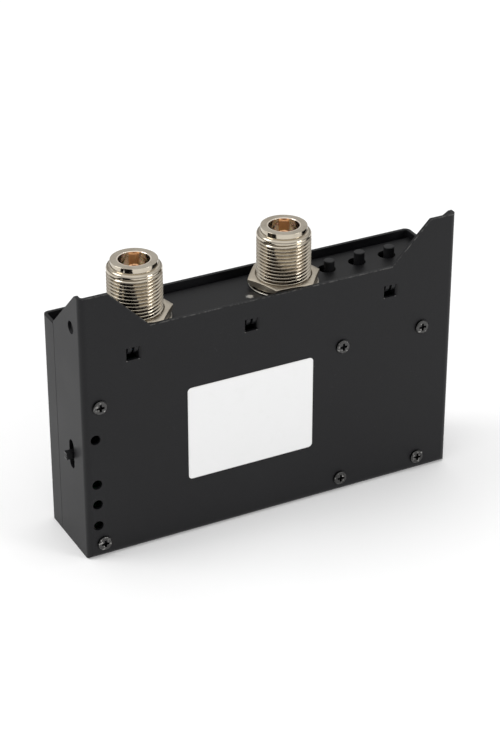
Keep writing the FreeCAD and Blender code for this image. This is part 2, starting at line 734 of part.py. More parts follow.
def make_port(number, x, turn):
    """One threaded coaxial socket: body, nut, lock washer, insulator and centre contact."""
    shell = new_body(f"port_{number}_body")
    place(shell, x, PORT_Y)
    profile = new_sketch(shell, "XZ_Plane", f"port_{number}_profile")
    thread_low = f"({NUT_TOP} + thread_pitch / 4)"
    nose_low = f"({THREAD_TOP} + nose_band + {SHOULDER})"
    seat = f"({NOSE_TOP} - socket_depth)"
    outline(profile, [
        ("coax_bore / 2", PORT_BARREL_BOTTOM), ("port_barrel_dia / 2", PORT_BARREL_BOTTOM),
        ("port_barrel_dia / 2", PORT_FLANGE_BOTTOM), ("port_flange_dia / 2", PORT_FLANGE_BOTTOM),
        ("port_flange_dia / 2", f"{PLATE} - sheet"), ("port_shank_dia / 2", f"{PLATE} - sheet"),
        ("port_shank_dia / 2", thread_low), ("thread_dia / 2", thread_low),
        ("thread_dia / 2", nose_low), ("nose_dia / 2", nose_low), ("nose_dia / 2", NOSE_TOP),
        ("socket_bore / 2 + socket_lip", NOSE_TOP), ("socket_bore / 2", f"{NOSE_TOP} - socket_lip"),
        ("socket_bore / 2", seat), ("coax_bore / 2", seat),
    ])
    revolve(shell, profile)
    crest_radius = mm("thread_dia / 2")
    shoulder_top = mm(nose_low)

    def shoulder(edge):
        if not isinstance(edge.Curve, Part.Circle):
            return False
        return near(edge.Curve.Radius, crest_radius) and near(edge.Curve.Center.z, shoulder_top)

    soften(shell, "Fillet", SHOULDER, shoulder)
    groove = new_sketch(shell, "XZ_Plane", f"port_{number}_groove")
    mouth = "(thread_pitch * 7 / 16)"
    root = "(thread_pitch / 8)"
    centre = f"({THREAD_TOP} - thread_pitch * 7 / 16)"
    outside = "(thread_dia / 2 + thread_depth)"
    crest = "(thread_dia / 2)"
    floor = "(thread_dia / 2 - thread_depth)"
    outline(groove, [
        (floor, f"{centre} - {root}"), (crest, f"{centre} - {mouth}"), (outside, f"{centre} - {mouth}"),
        (outside, f"{centre} + {mouth}"), (crest, f"{centre} + {mouth}"), (floor, f"{centre} + {root}"),
    ])
    turn_of_thread = revolve(shell, groove, cut=True)
    pattern = shell.newObject("PartDesign::LinearPattern", f"port_{number}_thread")
    pattern.Originals = [turn_of_thread]
    axis = next(f for f in shell.Origin.OriginFeatures if f.Role == "Z_Axis")
    pattern.Direction = (axis, [""])
    pattern.Reversed = True
    turns = f"floor(({THREAD_TOP} - {thread_low}) / thread_pitch)"
    bind(pattern, "Occurrences", turns)
    bind(pattern, "Length", f"({turns} - 1) * thread_pitch")
    shell.Tip = pattern
    doc.recompute()
    flats = new_sketch(shell, "XY_Plane", f"port_{number}_flange_flats", offset=f"{PLATE} - sheet")
    for sign in ("", "-"):
        rectangle(flats, "-port_flange_dia / 2", f"{sign}(port_flange_flats / 2)",
                  "port_flange_dia / 2", f"{sign}(port_flange_dia / 2 + sheet)")
    pocket(shell, flats, length="port_flange")

    nut = new_body(f"port_{number}_nut")
    place(nut, x, PORT_Y, f"{PLATE} + washer_height", rotation=Rotation(Vector(0, 0, 1), mm(turn)))
    hexagon = new_sketch(nut, "XY_Plane", f"port_{number}_hexagon")
    across = "nut_flats / 2"
    outline(hexagon, [(f"({across}) * {tan}", f"({across}) * {height}") for tan, height in HEXAGON])
    pad(nut, hexagon, "nut_height")
    rounding = new_sketch(nut, "XZ_Plane", f"port_{number}_nut_rounding")
    outside = "nut_flats"
    outline(rounding, [
        ("nut_flats / 2", "0"), ("nut_corner_dia / 2", "nut_chamfer"),
        ("nut_corner_dia / 2", "nut_height - nut_crown"), ("nut_crown_dia / 2", "nut_height"),
        ("nut_crown_dia / 2", "nut_height + sheet"), (outside, "nut_height + sheet"),
        (outside, "-sheet"), ("nut_flats / 2", "-sheet"),
    ])
    revolve(nut, rounding, cut=True)
    hole = new_sketch(nut, "XZ_Plane", f"port_{number}_nut_hole")
    bore = "(port_shank_dia / 2 + nut_gap)"
    mouth_depth = "(nut_mouth - port_shank_dia) / 2"
    outline(hole, [
        ("0", "0"), (bore, "0"), (bore, f"nut_height - {mouth_depth}"),
        ("nut_mouth / 2 + nut_gap", "nut_height"), ("0", "nut_height"),
    ])
    revolve(nut, hole, cut=True)

    washer = new_body(f"port_{number}_lock_washer")
    place(washer, x, PORT_Y, PLATE)
    ring = new_sketch(washer, "XY_Plane", f"port_{number}_washer_ring")
    circle(ring, "0", "0", "washer_dia / 2")
    circle(ring, "0", "0", "port_shank_dia / 2 + nut_gap")
    pad(washer, ring, "washer_height")
    notch = new_sketch(washer, "XY_Plane", f"port_{number}_washer_notch")
    rectangle(notch, "port_shank_dia / 2 - washer_rim", "-washer_tooth_width / 2",
              "washer_dia / 2 - washer_rim", "washer_tooth_width / 2")
    first = pocket(washer, notch, back=True)
    teeth = washer.newObject("PartDesign::PolarPattern", f"port_{number}_teeth")
    teeth.Originals = [first]
    axis = next(f for f in washer.Origin.OriginFeatures if f.Role == "Z_Axis")
    teeth.Axis = (axis, [""])
    teeth.Angle = 360.0
    teeth.Occurrences = WASHER_TEETH
    washer.Tip = teeth
    doc.recompute()

    filler = new_body(f"port_{number}_insulator")
    place(filler, x, PORT_Y)
    section = new_sketch(filler, "XZ_Plane", f"port_{number}_insulator_section")
    inner = "(contact_dia / 2 + insulator_gap)"
    outer = "(coax_bore / 2 - insulator_gap)"
    tail = "(tail_dia / 2 + insulator_gap)"
    outline(section, [
        (tail, INSULATOR_BOTTOM), (f"port_barrel_dia / 2", INSULATOR_BOTTOM),
        ("port_barrel_dia / 2", PORT_BARREL_BOTTOM), (outer, PORT_BARREL_BOTTOM), (outer, seat),
        (inner, seat), (inner, PORT_BARREL_BOTTOM), (tail, PORT_BARREL_BOTTOM),
    ])
    revolve(filler, section)

    contact = new_body(f"port_{number}_contact")
    place(contact, x, PORT_Y)
    pin = new_sketch(contact, "XZ_Plane", f"port_{number}_contact_section")
    tip = f"({NOSE_TOP} - contact_drop)"
    outline(pin, [
        ("0", f"{INSULATOR_BOTTOM} - tail_length"), ("tail_dia / 2", f"{INSULATOR_BOTTOM} - tail_length"),
        ("tail_dia / 2", PORT_BARREL_BOTTOM), ("contact_dia / 2", PORT_BARREL_BOTTOM),
        ("contact_dia / 2", tip), ("contact_bore / 2", tip),
        ("contact_bore / 2", f"{tip} - contact_bore_depth"), ("0", f"{tip} - contact_bore_depth"),
    ])
    revolve(contact, pin)
    slots = new_sketch(contact, "XY_Plane", f"port_{number}_contact_slots", offset=tip)
    reach = "contact_dia"
    thin = "contact_slot / 2"
    outline(slots, [
        (f"-{thin}", f"-{reach}"), (thin, f"-{reach}"), (thin, f"-{thin}"), (reach, f"-{thin}"),
        (reach, thin), (thin, thin), (thin, reach), (f"-{thin}", reach), (f"-{thin}", thin),
        (f"-{reach}", thin), (f"-{reach}", f"-{thin}"), (f"-{thin}", f"-{thin}"),
    ])
    pocket(contact, slots, length="contact_slot_depth")


HEXAGON = [("0.57735", "1"), ("-0.57735", "1"), ("-1.1547", "0"), ("-0.57735", "-1"), ("0.57735", "-1"), ("1.1547", "0")]
WASHER_TEETH = 16


def make_button(name, index, extra):
    """One push button and the tact switch on the board that it works."""
    x = button_x(index)
    button = new_body(name)
    place(button, x, BUTTON_Y)
    side = new_sketch(button, "XZ_Plane", name + "_section")
    top = f"({PLATE} + button_rise + {extra})"
    shoulder = f"({BOARD_TOP} + button_shoulder_gap)"
    outline(side, [
        ("0", f"{BOARD_TOP} - button_stem_depth"), ("button_stem_dia / 2", f"{BOARD_TOP} - button_stem_depth"),
        ("button_stem_dia / 2", shoulder), ("button_dia / 2", shoulder),
        ("button_dia / 2", f"{top} - button_chamfer"), ("button_dia / 2 - button_chamfer", top), ("0", top),
    ])
    revolve(button, side)

    switch = new_body(name + "_switch")
    plan = new_sketch(switch, "XY_Plane", name + "_switch_plan", offset=f"{BOARD_TOP} - button_switch_height")
    left = f"({x} - button_switch_width / 2)"
    right = f"({x} + button_switch_width / 2)"
    rectangle(plan, left, f"{BOARD_FRONT} - button_switch_depth", right, BOARD_FRONT)
    pad(switch, plan, "button_switch_height")
    well = new_sketch(switch, "XY_Plane", name + "_switch_well", offset=BOARD_TOP)
    circle(well, x, BUTTON_Y, "button_stem_dia / 2 + button_stem_gap")
    pocket(switch, well, length="button_stem_depth + button_travel + button_floor_gap")


def make_power_switch():
    """The slide switch at the end of the board: moulded body, steel frame and lever."""
    frame_x = f"({END} - sheet - switch_end_gap)"
    front_x = f"({frame_x} - switch_frame)"
    body_x = f"({front_x} - switch_body_depth)"
    half = "(carriage_width / 2 + slide_gap + switch_wall / 2)"
    cavity_low = "(lever_height - carriage_length / 2 - slide_gap)"
    cavity_high = "(lever_height + lever_travel + carriage_length / 2 + slide_gap)"
    low = f"({cavity_low} - switch_wall)"
    high = f"({cavity_high} + switch_wall)"

    moulding = new_body("power_switch_body")
    block = new_sketch(moulding, "YZ_Plane", "switch_block", offset=body_x)
    rectangle(block, BOARD_REAR, low, f"{LEVER_Y} + {half}", high)
    pad(moulding, block, "switch_body_depth")
    cavity = new_sketch(moulding, "YZ_Plane", "switch_cavity", offset=front_x)
    room = "(carriage_width / 2 + slide_gap)"
    rectangle(cavity, f"{LEVER_Y} - {room}", cavity_low, f"{LEVER_Y} + {room}", cavity_high)
    pocket(moulding, cavity, length="carriage_height + 2 * slide_gap")

    frame = new_body("power_switch_frame")
    plate = new_sketch(frame, "YZ_Plane", "switch_frame_plate", offset=front_x)
    rectangle(plate, f"{LEVER_Y} - {half}", low, f"{LEVER_Y} + {half}", high)
    pad(frame, plate, "switch_frame")
    slot = new_sketch(frame, "YZ_Plane", "switch_frame_slot", offset=frame_x)
    rectangle(slot, f"{LEVER_Y} - lever_width / 2 - slide_gap", "lever_height - lever_length / 2 - slide_gap",
              f"{LEVER_Y} + lever_width / 2 + slide_gap",
              "lever_height + lever_travel + lever_length / 2 + slide_gap")
    pocket(frame, slot, length="switch_frame")

    lever = new_body("power_switch_lever")
    carriage = new_sketch(lever, "YZ_Plane", "lever_carriage", offset=f"{front_x} - slide_gap - carriage_height")
    rectangle(carriage, f"{LEVER_Y} - carriage_width / 2", "lever_height - carriage_length / 2",
              f"{LEVER_Y} + carriage_width / 2", "lever_height + carriage_length / 2")
    pad(lever, carriage, "carriage_height")
    stem = new_sketch(lever, "YZ_Plane", "lever_stem", offset=f"{front_x} - slide_gap - carriage_height / 2")
    rectangle(stem, f"{LEVER_Y} - lever_width / 2", "lever_height - lever_length / 2",
              f"{LEVER_Y} + lever_width / 2", "lever_height + lever_length / 2")
    reach = f"({END} + lever_reach - {front_x} + slide_gap + carriage_height / 2)"
    pad(lever, stem, reach)
    grip = new_sketch(lever, "YZ_Plane", "lever_grip", offset=f"{END} + lever_reach")
    for place_along in ("lever_length / 6", "-lever_length / 6"):
        middle_z = f"(lever_height + {place_along})"
        rectangle(grip, f"{LEVER_Y} - lever_width", f"{middle_z} - lever_groove_width / 2",
                  f"{LEVER_Y} + lever_width", f"{middle_z} + lever_groove_width / 2")
    pocket(lever, grip, length="lever_groove_depth")


def make_board():
    """The main circuit board, with its screw holes."""
    body = new_body("main_board")
    face = new_sketch(body, "XZ_Plane", "board_outline", offset=f"-{BOARD_REAR}")
    rectangle(face, f"-{BOARD_END}", BOARD_BOTTOM, BOARD_END, BOARD_TOP)
    pad(body, face, "board_thickness")
    holes = new_sketch(body, "XZ_Plane", "board_holes", offset=f"-{BOARD_REAR}")
    for x, z in SCREWS:
        circle(holes, x, z, "screw_shank_dia / 2 + screw_clearance")
    pocket(body, holes, length="board_thickness", back=True)


def make_display():
    """Gasket, touch panel, display, its ribbon and the ribbon's socket on the board."""
    low = f"({DISPLAY_LOW} - panel_margin)"
    high = f"({DISPLAY_HIGH} + panel_margin / 2)"
    left = f"({DISPLAY_LEFT} - panel_margin)"
    right = f"({DISPLAY_RIGHT} + panel_margin)"
    gasket = new_body("display_gasket")
    ring = new_sketch(gasket, "XZ_Plane", "gasket_ring", offset=f"-{GASKET_BACK}")
    rectangle(ring, left, low, right, high)
    rectangle(ring, f"{DISPLAY_LEFT} + gasket_width", f"{DISPLAY_LOW} + gasket_width",
              f"{DISPLAY_RIGHT} - gasket_width", f"{DISPLAY_HIGH} - gasket_width")
    pad(gasket, ring, "gasket_thickness")
    panel = new_body("touch_panel")
    pane = new_sketch(panel, "XZ_Plane", "panel_pane", offset=f"-{PANEL_BACK}")
    rectangle(pane, left, low, right, high)
    pad(panel, pane, "panel_thickness")
    display = new_body("display_module")
    block = new_sketch(display, "XZ_Plane", "display_block", offset=f"-{DISPLAY_BACK}")
    rectangle(block, DISPLAY_LEFT, DISPLAY_LOW, DISPLAY_RIGHT, DISPLAY_HIGH)
    pad(display, block, "display_thickness")

    middle_x = f"(({DISPLAY_LEFT} + {DISPLAY_RIGHT}) / 2)"
    half = "(ribbon_width / 2)"
    plug_y = f"({BOARD_FRONT} - ribbon_plug_depth)"
    plug_low = "(ribbon_height + ribbon_lead)"
    socket = box("display_connector", (f"{middle_x} - {half} - ribbon_plug_side", plug_y, plug_low),
                 (f"{middle_x} + {half} + ribbon_plug_side", BOARD_FRONT, f"{plug_low} + ribbon_plug_height"))
    node(socket, "display_connector")

    start_y = mm(DISPLAY_BACK)
    end_y = mm(f"{plug_y} + ribbon_plug_depth / 2")
    thick = mm("ribbon_thickness")
    bottom = mm("ribbon_height")
    outer = (end_y - start_y) / 2
    centre_y = (start_y + end_y) / 2
    inner = outer - thick
    top = bottom + mm("ribbon_tail")
    lead_top = mm(plug_low)
    x = mm(f"{middle_x} - {half}")

    def at(y, z):
        return Vector(x, y, z)

    edges = [
        Part.LineSegment(at(start_y, top), at(start_y, bottom)),
        Part.Arc(at(start_y, bottom), at(centre_y, bottom - outer), at(end_y, bottom)),
        Part.LineSegment(at(end_y, bottom), at(end_y, lead_top)),
        Part.LineSegment(at(end_y, lead_top), at(end_y - thick, lead_top)),
        Part.LineSegment(at(end_y - thick, lead_top), at(end_y - thick, bottom)),
        Part.Arc(at(end_y - thick, bottom), at(centre_y, bottom - inner), at(start_y + thick, bottom)),
        Part.LineSegment(at(start_y + thick, bottom), at(start_y + thick, top)),
        Part.LineSegment(at(start_y + thick, top), at(start_y, top)),
    ]
    face = Part.Face(Part.Wire([edge.toShape() for edge in edges]))
    ribbon = doc.addObject("Part::Feature", "display_ribbon")
    ribbon.Shape = face.extrude(Vector(mm("ribbon_width"), 0, 0))
    node(ribbon, "display_ribbon")


def make_battery():
    """The flat cell stuck inside the rear cover, with its lead, plug and board header."""
    back = f"({REAR} - sheet - tape_thickness)"
    front = f"({BOARD_REAR} + shield_thickness + battery_front_gap)"
    right = f"({END} - battery_inset)"
    left = f"(battery_far_inset - {END})"
    high = "(battery_rise + battery_height)"
    plug_top = f"({BOARD_REAR} + header_floor + slide_gap + plug_height)"
    bend = f"(({front} + {back}) / 2 - {plug_top} - lead_drop)"
    cell = new_body("battery")
    outline_sketch = new_sketch(cell, "XZ_Plane", "battery_outline", offset=f"-{back}")
    rectangle(outline_sketch, left, "battery_rise", right, high)
    pad(cell, outline_sketch, f"{back} - {front}")
    soften(cell, "Fillet", "battery_corner", lambda edge: straight_along(edge, Vector(1, 0, 0)))
    tape = box("battery_tape", (f"{left} + tape_border", back, "battery_rise + tape_border"),
               (f"{right} - tape_border", f"{REAR} - sheet", f"{high} - tape_border"))
    node(tape, "battery_tape")

    end_x = mm(left)
    middle_y = mm(f"({front} + {back}) / 2")
    radius = mm(bend)
    turn_x = end_x - mm("lead_run")
    plug_x = turn_x - radius
    wires = []
    for side in (-1, 1):
        z = mm("lead_rise") + side * mm("lead_spacing") / 2
        start = Vector(end_x, middle_y, z)
        before = Vector(turn_x, middle_y, z)
        after = Vector(plug_x, middle_y - radius, z)
        slant = radius * (1 - 2 ** -0.5)
        halfway = Vector(plug_x + slant, middle_y - slant, z)
        path = Part.Wire([
            Part.LineSegment(start, before).toShape(),
            Part.Arc(before, halfway, after).toShape(),
            Part.LineSegment(after, Vector(plug_x, mm(plug_top), z)).toShape(),
        ])
        ring = Part.Wire(Part.Circle(start, Vector(-1, 0, 0), mm("lead_dia / 2")).toShape())
        wires.append(path.makePipeShell([ring], True, False))
    leads = doc.addObject("Part::Feature", "battery_leads")
    leads.Shape = Part.Compound(wires)
    node(leads, "battery_leads")

    plug_centre = f"({left} - lead_run - {bend})"
    floor = f"({BOARD_REAR} + header_floor)"
    low_z = "(lead_rise - plug_width / 2)"
    high_z = "(lead_rise + plug_width / 2)"
    plug = box("battery_plug", (f"{plug_centre} - plug_length / 2", f"{floor} + slide_gap", low_z),
               (f"{plug_centre} + plug_length / 2", f"{floor} + slide_gap + plug_height", high_z))
    node(plug, "battery_plug")
    wall = "(slide_gap / 3 + header_wall)"
    shell = box("header_block", (f"{plug_centre} - plug_length / 2 - {wall}", BOARD_REAR, f"{low_z} - {wall}"),
                (f"{plug_centre} + plug_length / 2 + {wall}", f"{BOARD_REAR} + header_height", f"{high_z} + {wall}"))
    well = box("header_well", (f"{plug_centre} - plug_length / 2 - slide_gap / 3", floor, f"{low_z} - slide_gap / 3"),
               (f"{plug_centre} + plug_length / 2 + slide_gap / 3", f"{BOARD_REAR} + header_height + sheet",
                f"{high_z} + slide_gap / 3"))
    node(cut("battery_header", shell, well), "battery_header")


def make_usb_socket():
    """The charging and data socket, with its tongue, at the end without the switch."""
    body = new_body("usb_socket")
    mouth_x = f"(sheet + usb_end_gap - {END})"
    y = f"({BOARD_REAR} + usb_thickness / 2)"
    z = "usb_height_above_bottom"
    face = new_sketch(body, "YZ_Plane", "usb_face", offset=mouth_x)
    rectangle(face, BOARD_REAR, f"{z} - usb_width / 2", f"{BOARD_REAR} + usb_thickness", f"{z} + usb_width / 2")
    pad(body, face, "usb_length")
    soften(body, "Fillet", "usb_thickness / 2 - 0.05", lambda edge: straight_along(edge, Vector(1, 0, 0)))
    well = new_sketch(body, "YZ_Plane", "usb_well", offset=mouth_x)
    inner = "(usb_thickness / 2 - usb_wall)"
    width = "(usb_width / 2 - usb_thickness / 2)"
    rectangle(well, f"{y} - {inner}", f"{z} - {width}", f"{y} + {inner}", f"{z} + {width}")
    pocket(body, well, length="usb_pocket", back=True)
    for part, sign in (("upper", "+"), ("lower", "-")):
        round_end = new_sketch(body, "YZ_Plane", f"usb_{part}_end", offset=mouth_x)
        circle(round_end, y, f"{z} {sign} {width}", inner)
        pocket(body, round_end, length="usb_pocket", back=True)
    tongue = new_sketch(body, "YZ_Plane", "usb_tongue_face", offset=f"{mouth_x} + usb_pocket - usb_tongue_length")
    rectangle(tongue, f"{y} - usb_tongue / 2", f"{z} - usb_tongue_width / 2",
              f"{y} + usb_tongue / 2", f"{z} + usb_tongue_width / 2")
    pad(body, tongue, "usb_tongue_length")


def make_standoffs():
    """The spacers that hold the board between the two covers."""
    bore = "(screw_shank_dia / 2 + thread_gap)"
    barrel = "(standoff_dia / 2)"
    inner_rear = f"({REAR} - sheet)"
    inner_front = f"({FRONT} + sheet)"
    front = []
    corner = []
    between = []
    for i, (x, z) in enumerate(CORNER_SCREWS):
        post = rod(f"front_post_{i}", (x, inner_front, z), barrel, f"{BOARD_FRONT} - {inner_front}", TO_REAR)
        hole = rod(f"front_post_bore_{i}", (x, f"{BOARD_FRONT} - stud_length - sheet", z), bore,
                   "stud_length + 2 * sheet", TO_REAR)
        front.append(cut(f"front_standoff_{i}", post, hole))
        body = rod(f"corner_post_{i}", (x, BOARD_REAR, z), barrel, f"{inner_rear} - {BOARD_REAR}", TO_REAR)
        stud = rod(f"corner_stud_{i}", (x, f"{BOARD_FRONT} - stud_length", z), "screw_shank_dia / 2",
                   f"stud_length + board_thickness + sheet", TO_REAR)
        deep = rod(f"corner_bore_{i}", (x, f"{inner_rear} - screw_length - sheet", z), bore,
                   "screw_length + 2 * sheet", TO_REAR)
        corner.append(cut(f"corner_standoff_{i}", fuse(f"corner_solid_{i}", [body, stud]), deep))
    for i, (x, z) in enumerate(MIDDLE_SCREWS):
        post = rod(f"middle_post_{i}", (x, BOARD_REAR, z), barrel, f"{inner_rear} - {BOARD_REAR}", TO_REAR)
        through = rod(f"middle_bore_{i}", (x, f"{BOARD_REAR} - sheet", z), bore,
                      f"{inner_rear} - {BOARD_REAR} + 2 * sheet", TO_REAR)
        between.append(cut(f"middle_standoff_{i}", post, through))
    group("front_standoffs", front)
    group("corner_standoffs", corner)
    group("middle_standoffs", between)


def cross_recess(name, x, y_face, z, inward):
    """Makes the two crossed blocks that are cut out of a screw's head."""
    arms = []
    for arm, (width, height) in enumerate([("cross_span", "cross_width"), ("cross_width", "cross_span")]):
        low_y, high_y = (f"{y_face} - cross_depth", f"{y_face} + sheet")
        if inward == "rear":
            low_y, high_y = (f"{y_face} - sheet", f"{y_face} + cross_depth")
        arms.append(box(f"{name}_arm_{arm}", (f"{x} - {width} / 2", low_y, f"{z} - {height} / 2"),
                        (f"{x} + {width} / 2", high_y, f"{z} + {height} / 2")))
    pit_way = TO_REAR if inward == "rear" else TO_FRONT
    arms.append(taper(f"{name}_pit", (x, y_face, z), "cross_pit_dia / 2", "cross_width / 2", "cross_depth", pit_way))
    return fuse(name + "_cross", arms)


def make_screws():
    """Six screws with flat, raised heads in the rear plate and two that hold the board."""
    rear = []
    side = "screw_head_height - screw_head_edge"
    edge_y = f"({REAR} + {side})"
    face_y = f"({REAR} + screw_head_height)"
    for i, (x, z) in enumerate(SCREWS):
        head = rod(f"rear_head_{i}", (x, REAR, z), "screw_head_dia / 2", side, TO_REAR)
        rim = taper(f"rear_head_edge_{i}", (x, edge_y, z), "screw_head_dia / 2",
                    "screw_head_dia / 2 - screw_head_edge", "screw_head_edge", TO_REAR)
        shank = rod(f"rear_shank_{i}", (x, edge_y, z), "screw_shank_dia / 2",
                    f"screw_length + {side}", TO_FRONT)
        solid = fuse(f"rear_screw_solid_{i}", [head, rim, shank])
        rear.append(cut(f"rear_screw_{i}", solid, cross_recess(f"rear_screw_{i}", x, face_y, z, "front")))
    group("rear_screws", rear)
    board = []
    top = f"({BOARD_FRONT} - board_screw_head)"
    for i, (x, z) in enumerate(MIDDLE_SCREWS):
        head = rod(f"board_head_{i}", (x, top, z), "board_screw_head_dia / 2", "board_screw_head", TO_REAR)
        shank = rod(f"board_shank_{i}", (x, top, z), "screw_shank_dia / 2",
                    "board_screw_head + board_screw_length", TO_REAR)
        solid = fuse(f"board_screw_solid_{i}", [head, shank])
        board.append(cut(f"board_screw_{i}", solid, cross_recess(f"board_screw_{i}", x, top, z, "rear")))
    group("board_screws", board)


def make_shields():
    """The two screening cans behind the sockets, as open boxes soldered to the board."""
    for number, x in ((1, PORT_1_X), (2, PORT_2_X)):
        low = f"({BOARD_TOP} - shield_drop - shield_height)"
        high = f"({BOARD_TOP} - shield_drop)"
        side = "shield_length / 2"
        outer = box(f"shield_{number}_outside", (f"{x} - {side}", BOARD_REAR, low),
                    (f"{x} + {side}", f"{BOARD_REAR} + shield_thickness", high))
        inner = box(f"shield_{number}_inside", (f"{x} - {side} + shield_sheet", f"{BOARD_REAR} - sheet", f"{low} + shield_sheet"),
                    (f"{x} + {side} - shield_sheet", f"{BOARD_REAR} + shield_thickness - shield_sheet",
                     f"{high} - shield_sheet"))
        node(cut(f"shield_can_{number}", outer, inner), f"shield_can_{number}")


def make_board_parts():
    """The processor and the indicator lights behind their holes."""
    x = f"(chip_inset - {END})"
    chip = box("processor", (f"{x} - chip_size / 2", BOARD_REAR, "chip_rise - chip_size / 2"),
               (f"{x} + chip_size / 2", f"{BOARD_REAR} + chip_thickness", "chip_rise + chip_size / 2"))
    node(chip, "processor")
    lights = []
    for i, height in enumerate(LIGHTS):
        lights.append(box(f"light_{i}", (f"{LIGHT_X} - light_width / 2", BOARD_REAR, f"{height} - light_length / 2"),
                          (f"{LIGHT_X} + light_width / 2", f"{BOARD_REAR} + light_thickness",
                           f"{height} + light_length / 2")))
    group("indicator_lights", lights)


def make_label():
    """The blank label on the rear face."""
    body = new_body("blank_label")
    left = f"({END} - label_inset - label_width / 2)"
    sheet_outline = new_sketch(body, "XZ_Plane", "label_outline", offset=f"-({REAR} + label_thickness)")
    rectangle(sheet_outline, left, "label_rise", f"{left} + label_width", "label_rise + label_height")
    pad(body, sheet_outline, "label_thickness")
    soften(body, "Fillet", "label_radius", lambda edge: straight_along(edge, Vector(0, 1, 0)))


make_rear_cover()
make_front_cover()
make_top_plate()
make_port(1, PORT_1_X, "nut_1_turn")
make_port(2, PORT_2_X, "nut_2_turn")
for button_name, button_index, button_extra in BUTTONS:
    make_button(button_name, button_index, button_extra)
make_power_switch()
make_board()
make_display()
make_battery()
make_usb_socket()
make_standoffs()
make_screws()
make_shields()
make_board_parts()
make_label()
doc.recompute()

for thing in doc.Objects:
    if {"Invalid", "Error"} & set(thing.State):
        raise RuntimeError(f"{thing.Label} has state {thing.State}")
for part in NODES:
    if part.Shape.isNull() or not part.Shape.isValid():
        raise RuntimeError(f"{part.Label} has no valid shape")

os.makedirs("parts", exist_ok=True)
for part in NODES:
    part.Shape.exportStep(os.path.join("parts", part.Label + ".step"))
    bounds = part.Shape.BoundBox
    print(f"{part.Label:22s} {len(part.Shape.Solids)} solids, volume {part.Shape.Volume:9.2f}, "
          f"x {bounds.XMin:7.2f} {bounds.XMax:7.2f}, y {bounds.YMin:7.2f} {bounds.YMax:7.2f}, "
          f"z {bounds.ZMin:7.2f} {bounds.ZMax:7.2f}")
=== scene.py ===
"""A hand-held antenna analyzer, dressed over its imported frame.

The frame's origin lies under the middle of the case. +X runs to the end with the power switch,
+Y to the rear face with the screws, and +Z up to the threaded sockets. Blender works in metres,
and the sizes of the pieces are written in millimetres.
"""
from __future__ import annotations

import logging
import math
from dataclasses import dataclass, field
from enum import Enum
from typing import Any, Callable, Sequence, Union

import bmesh
import bpy
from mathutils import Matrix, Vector

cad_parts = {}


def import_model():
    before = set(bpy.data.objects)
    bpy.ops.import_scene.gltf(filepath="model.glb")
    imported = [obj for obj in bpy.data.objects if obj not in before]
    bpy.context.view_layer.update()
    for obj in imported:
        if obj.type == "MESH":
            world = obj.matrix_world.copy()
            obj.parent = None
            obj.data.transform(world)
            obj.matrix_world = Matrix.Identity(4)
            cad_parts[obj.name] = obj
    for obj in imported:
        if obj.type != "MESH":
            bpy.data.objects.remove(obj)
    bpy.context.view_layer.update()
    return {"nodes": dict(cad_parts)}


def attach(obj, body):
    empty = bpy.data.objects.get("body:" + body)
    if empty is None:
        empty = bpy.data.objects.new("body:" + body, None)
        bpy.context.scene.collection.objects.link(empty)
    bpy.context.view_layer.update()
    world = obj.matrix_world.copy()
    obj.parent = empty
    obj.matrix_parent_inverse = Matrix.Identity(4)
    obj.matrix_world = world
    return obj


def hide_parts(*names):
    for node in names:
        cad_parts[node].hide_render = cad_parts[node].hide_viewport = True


log = logging.getLogger("antenna_analyzer")

MM = 0.001
Colour = tuple[float, float, float]
Point = tuple[float, float]


class Wire:
    """The output of a shader node, with the operators of a number."""

    def __init__(self, graph: "Graph", socket: bpy.types.NodeSocket) -> None:
        """Keeps the socket and the graph that it belongs to."""
        self.graph = graph
        self.socket = socket

    def _maths(self, operation: str, *values: "Value") -> "Wire":
        """Adds a Math node over the given values."""
        inputs = dict(enumerate(values))
        return self.graph.node("ShaderNodeMath", {"operation": operation}, inputs)

    def __add__(self, other: "Value") -> "Wire":
        """Returns self + other."""
        return self._maths("ADD", self, other)

    def __radd__(self, other: "Value") -> "Wire":
        """Returns other + self."""
        return self._maths("ADD", other, self)

    def __sub__(self, other: "Value") -> "Wire":
        """Returns self - other."""
        return self._maths("SUBTRACT", self, other)

    def __rsub__(self, other: "Value") -> "Wire":
        """Returns other - self."""
        return self._maths("SUBTRACT", other, self)

    def __mul__(self, other: "Value") -> "Wire":
        """Returns self * other."""
        return self._maths("MULTIPLY", self, other)

    def __pow__(self, other: "Value") -> "Wire":
        """Returns self to the power other."""
        return self._maths("POWER", self, other)

    def __abs__(self) -> "Wire":
        """Returns the size of self."""
        return self._maths("ABSOLUTE", self)

    def __gt__(self, other: "Value") -> "Wire":
        """Returns 1 where self is greater than other, and 0 elsewhere."""
        return self._maths("GREATER_THAN", self, other)

    def fraction(self) -> "Wire":
        """Returns the part of self after the decimal point."""
        return self._maths("FRACT", self)

    def step(self, low: float, high: float) -> "Wire":
        """Returns a soft step of self from 0 at low to 1 at high."""
        settings = {"interpolation_type": "SMOOTHSTEP"}
        inputs = {"Value": self, "From Min": low, "From Max": high}
        return self.graph.node("ShaderNodeMapRange", settings, inputs)


Value = Union[float, Wire]
AnyValue = Union[float, Wire, Sequence[float]]


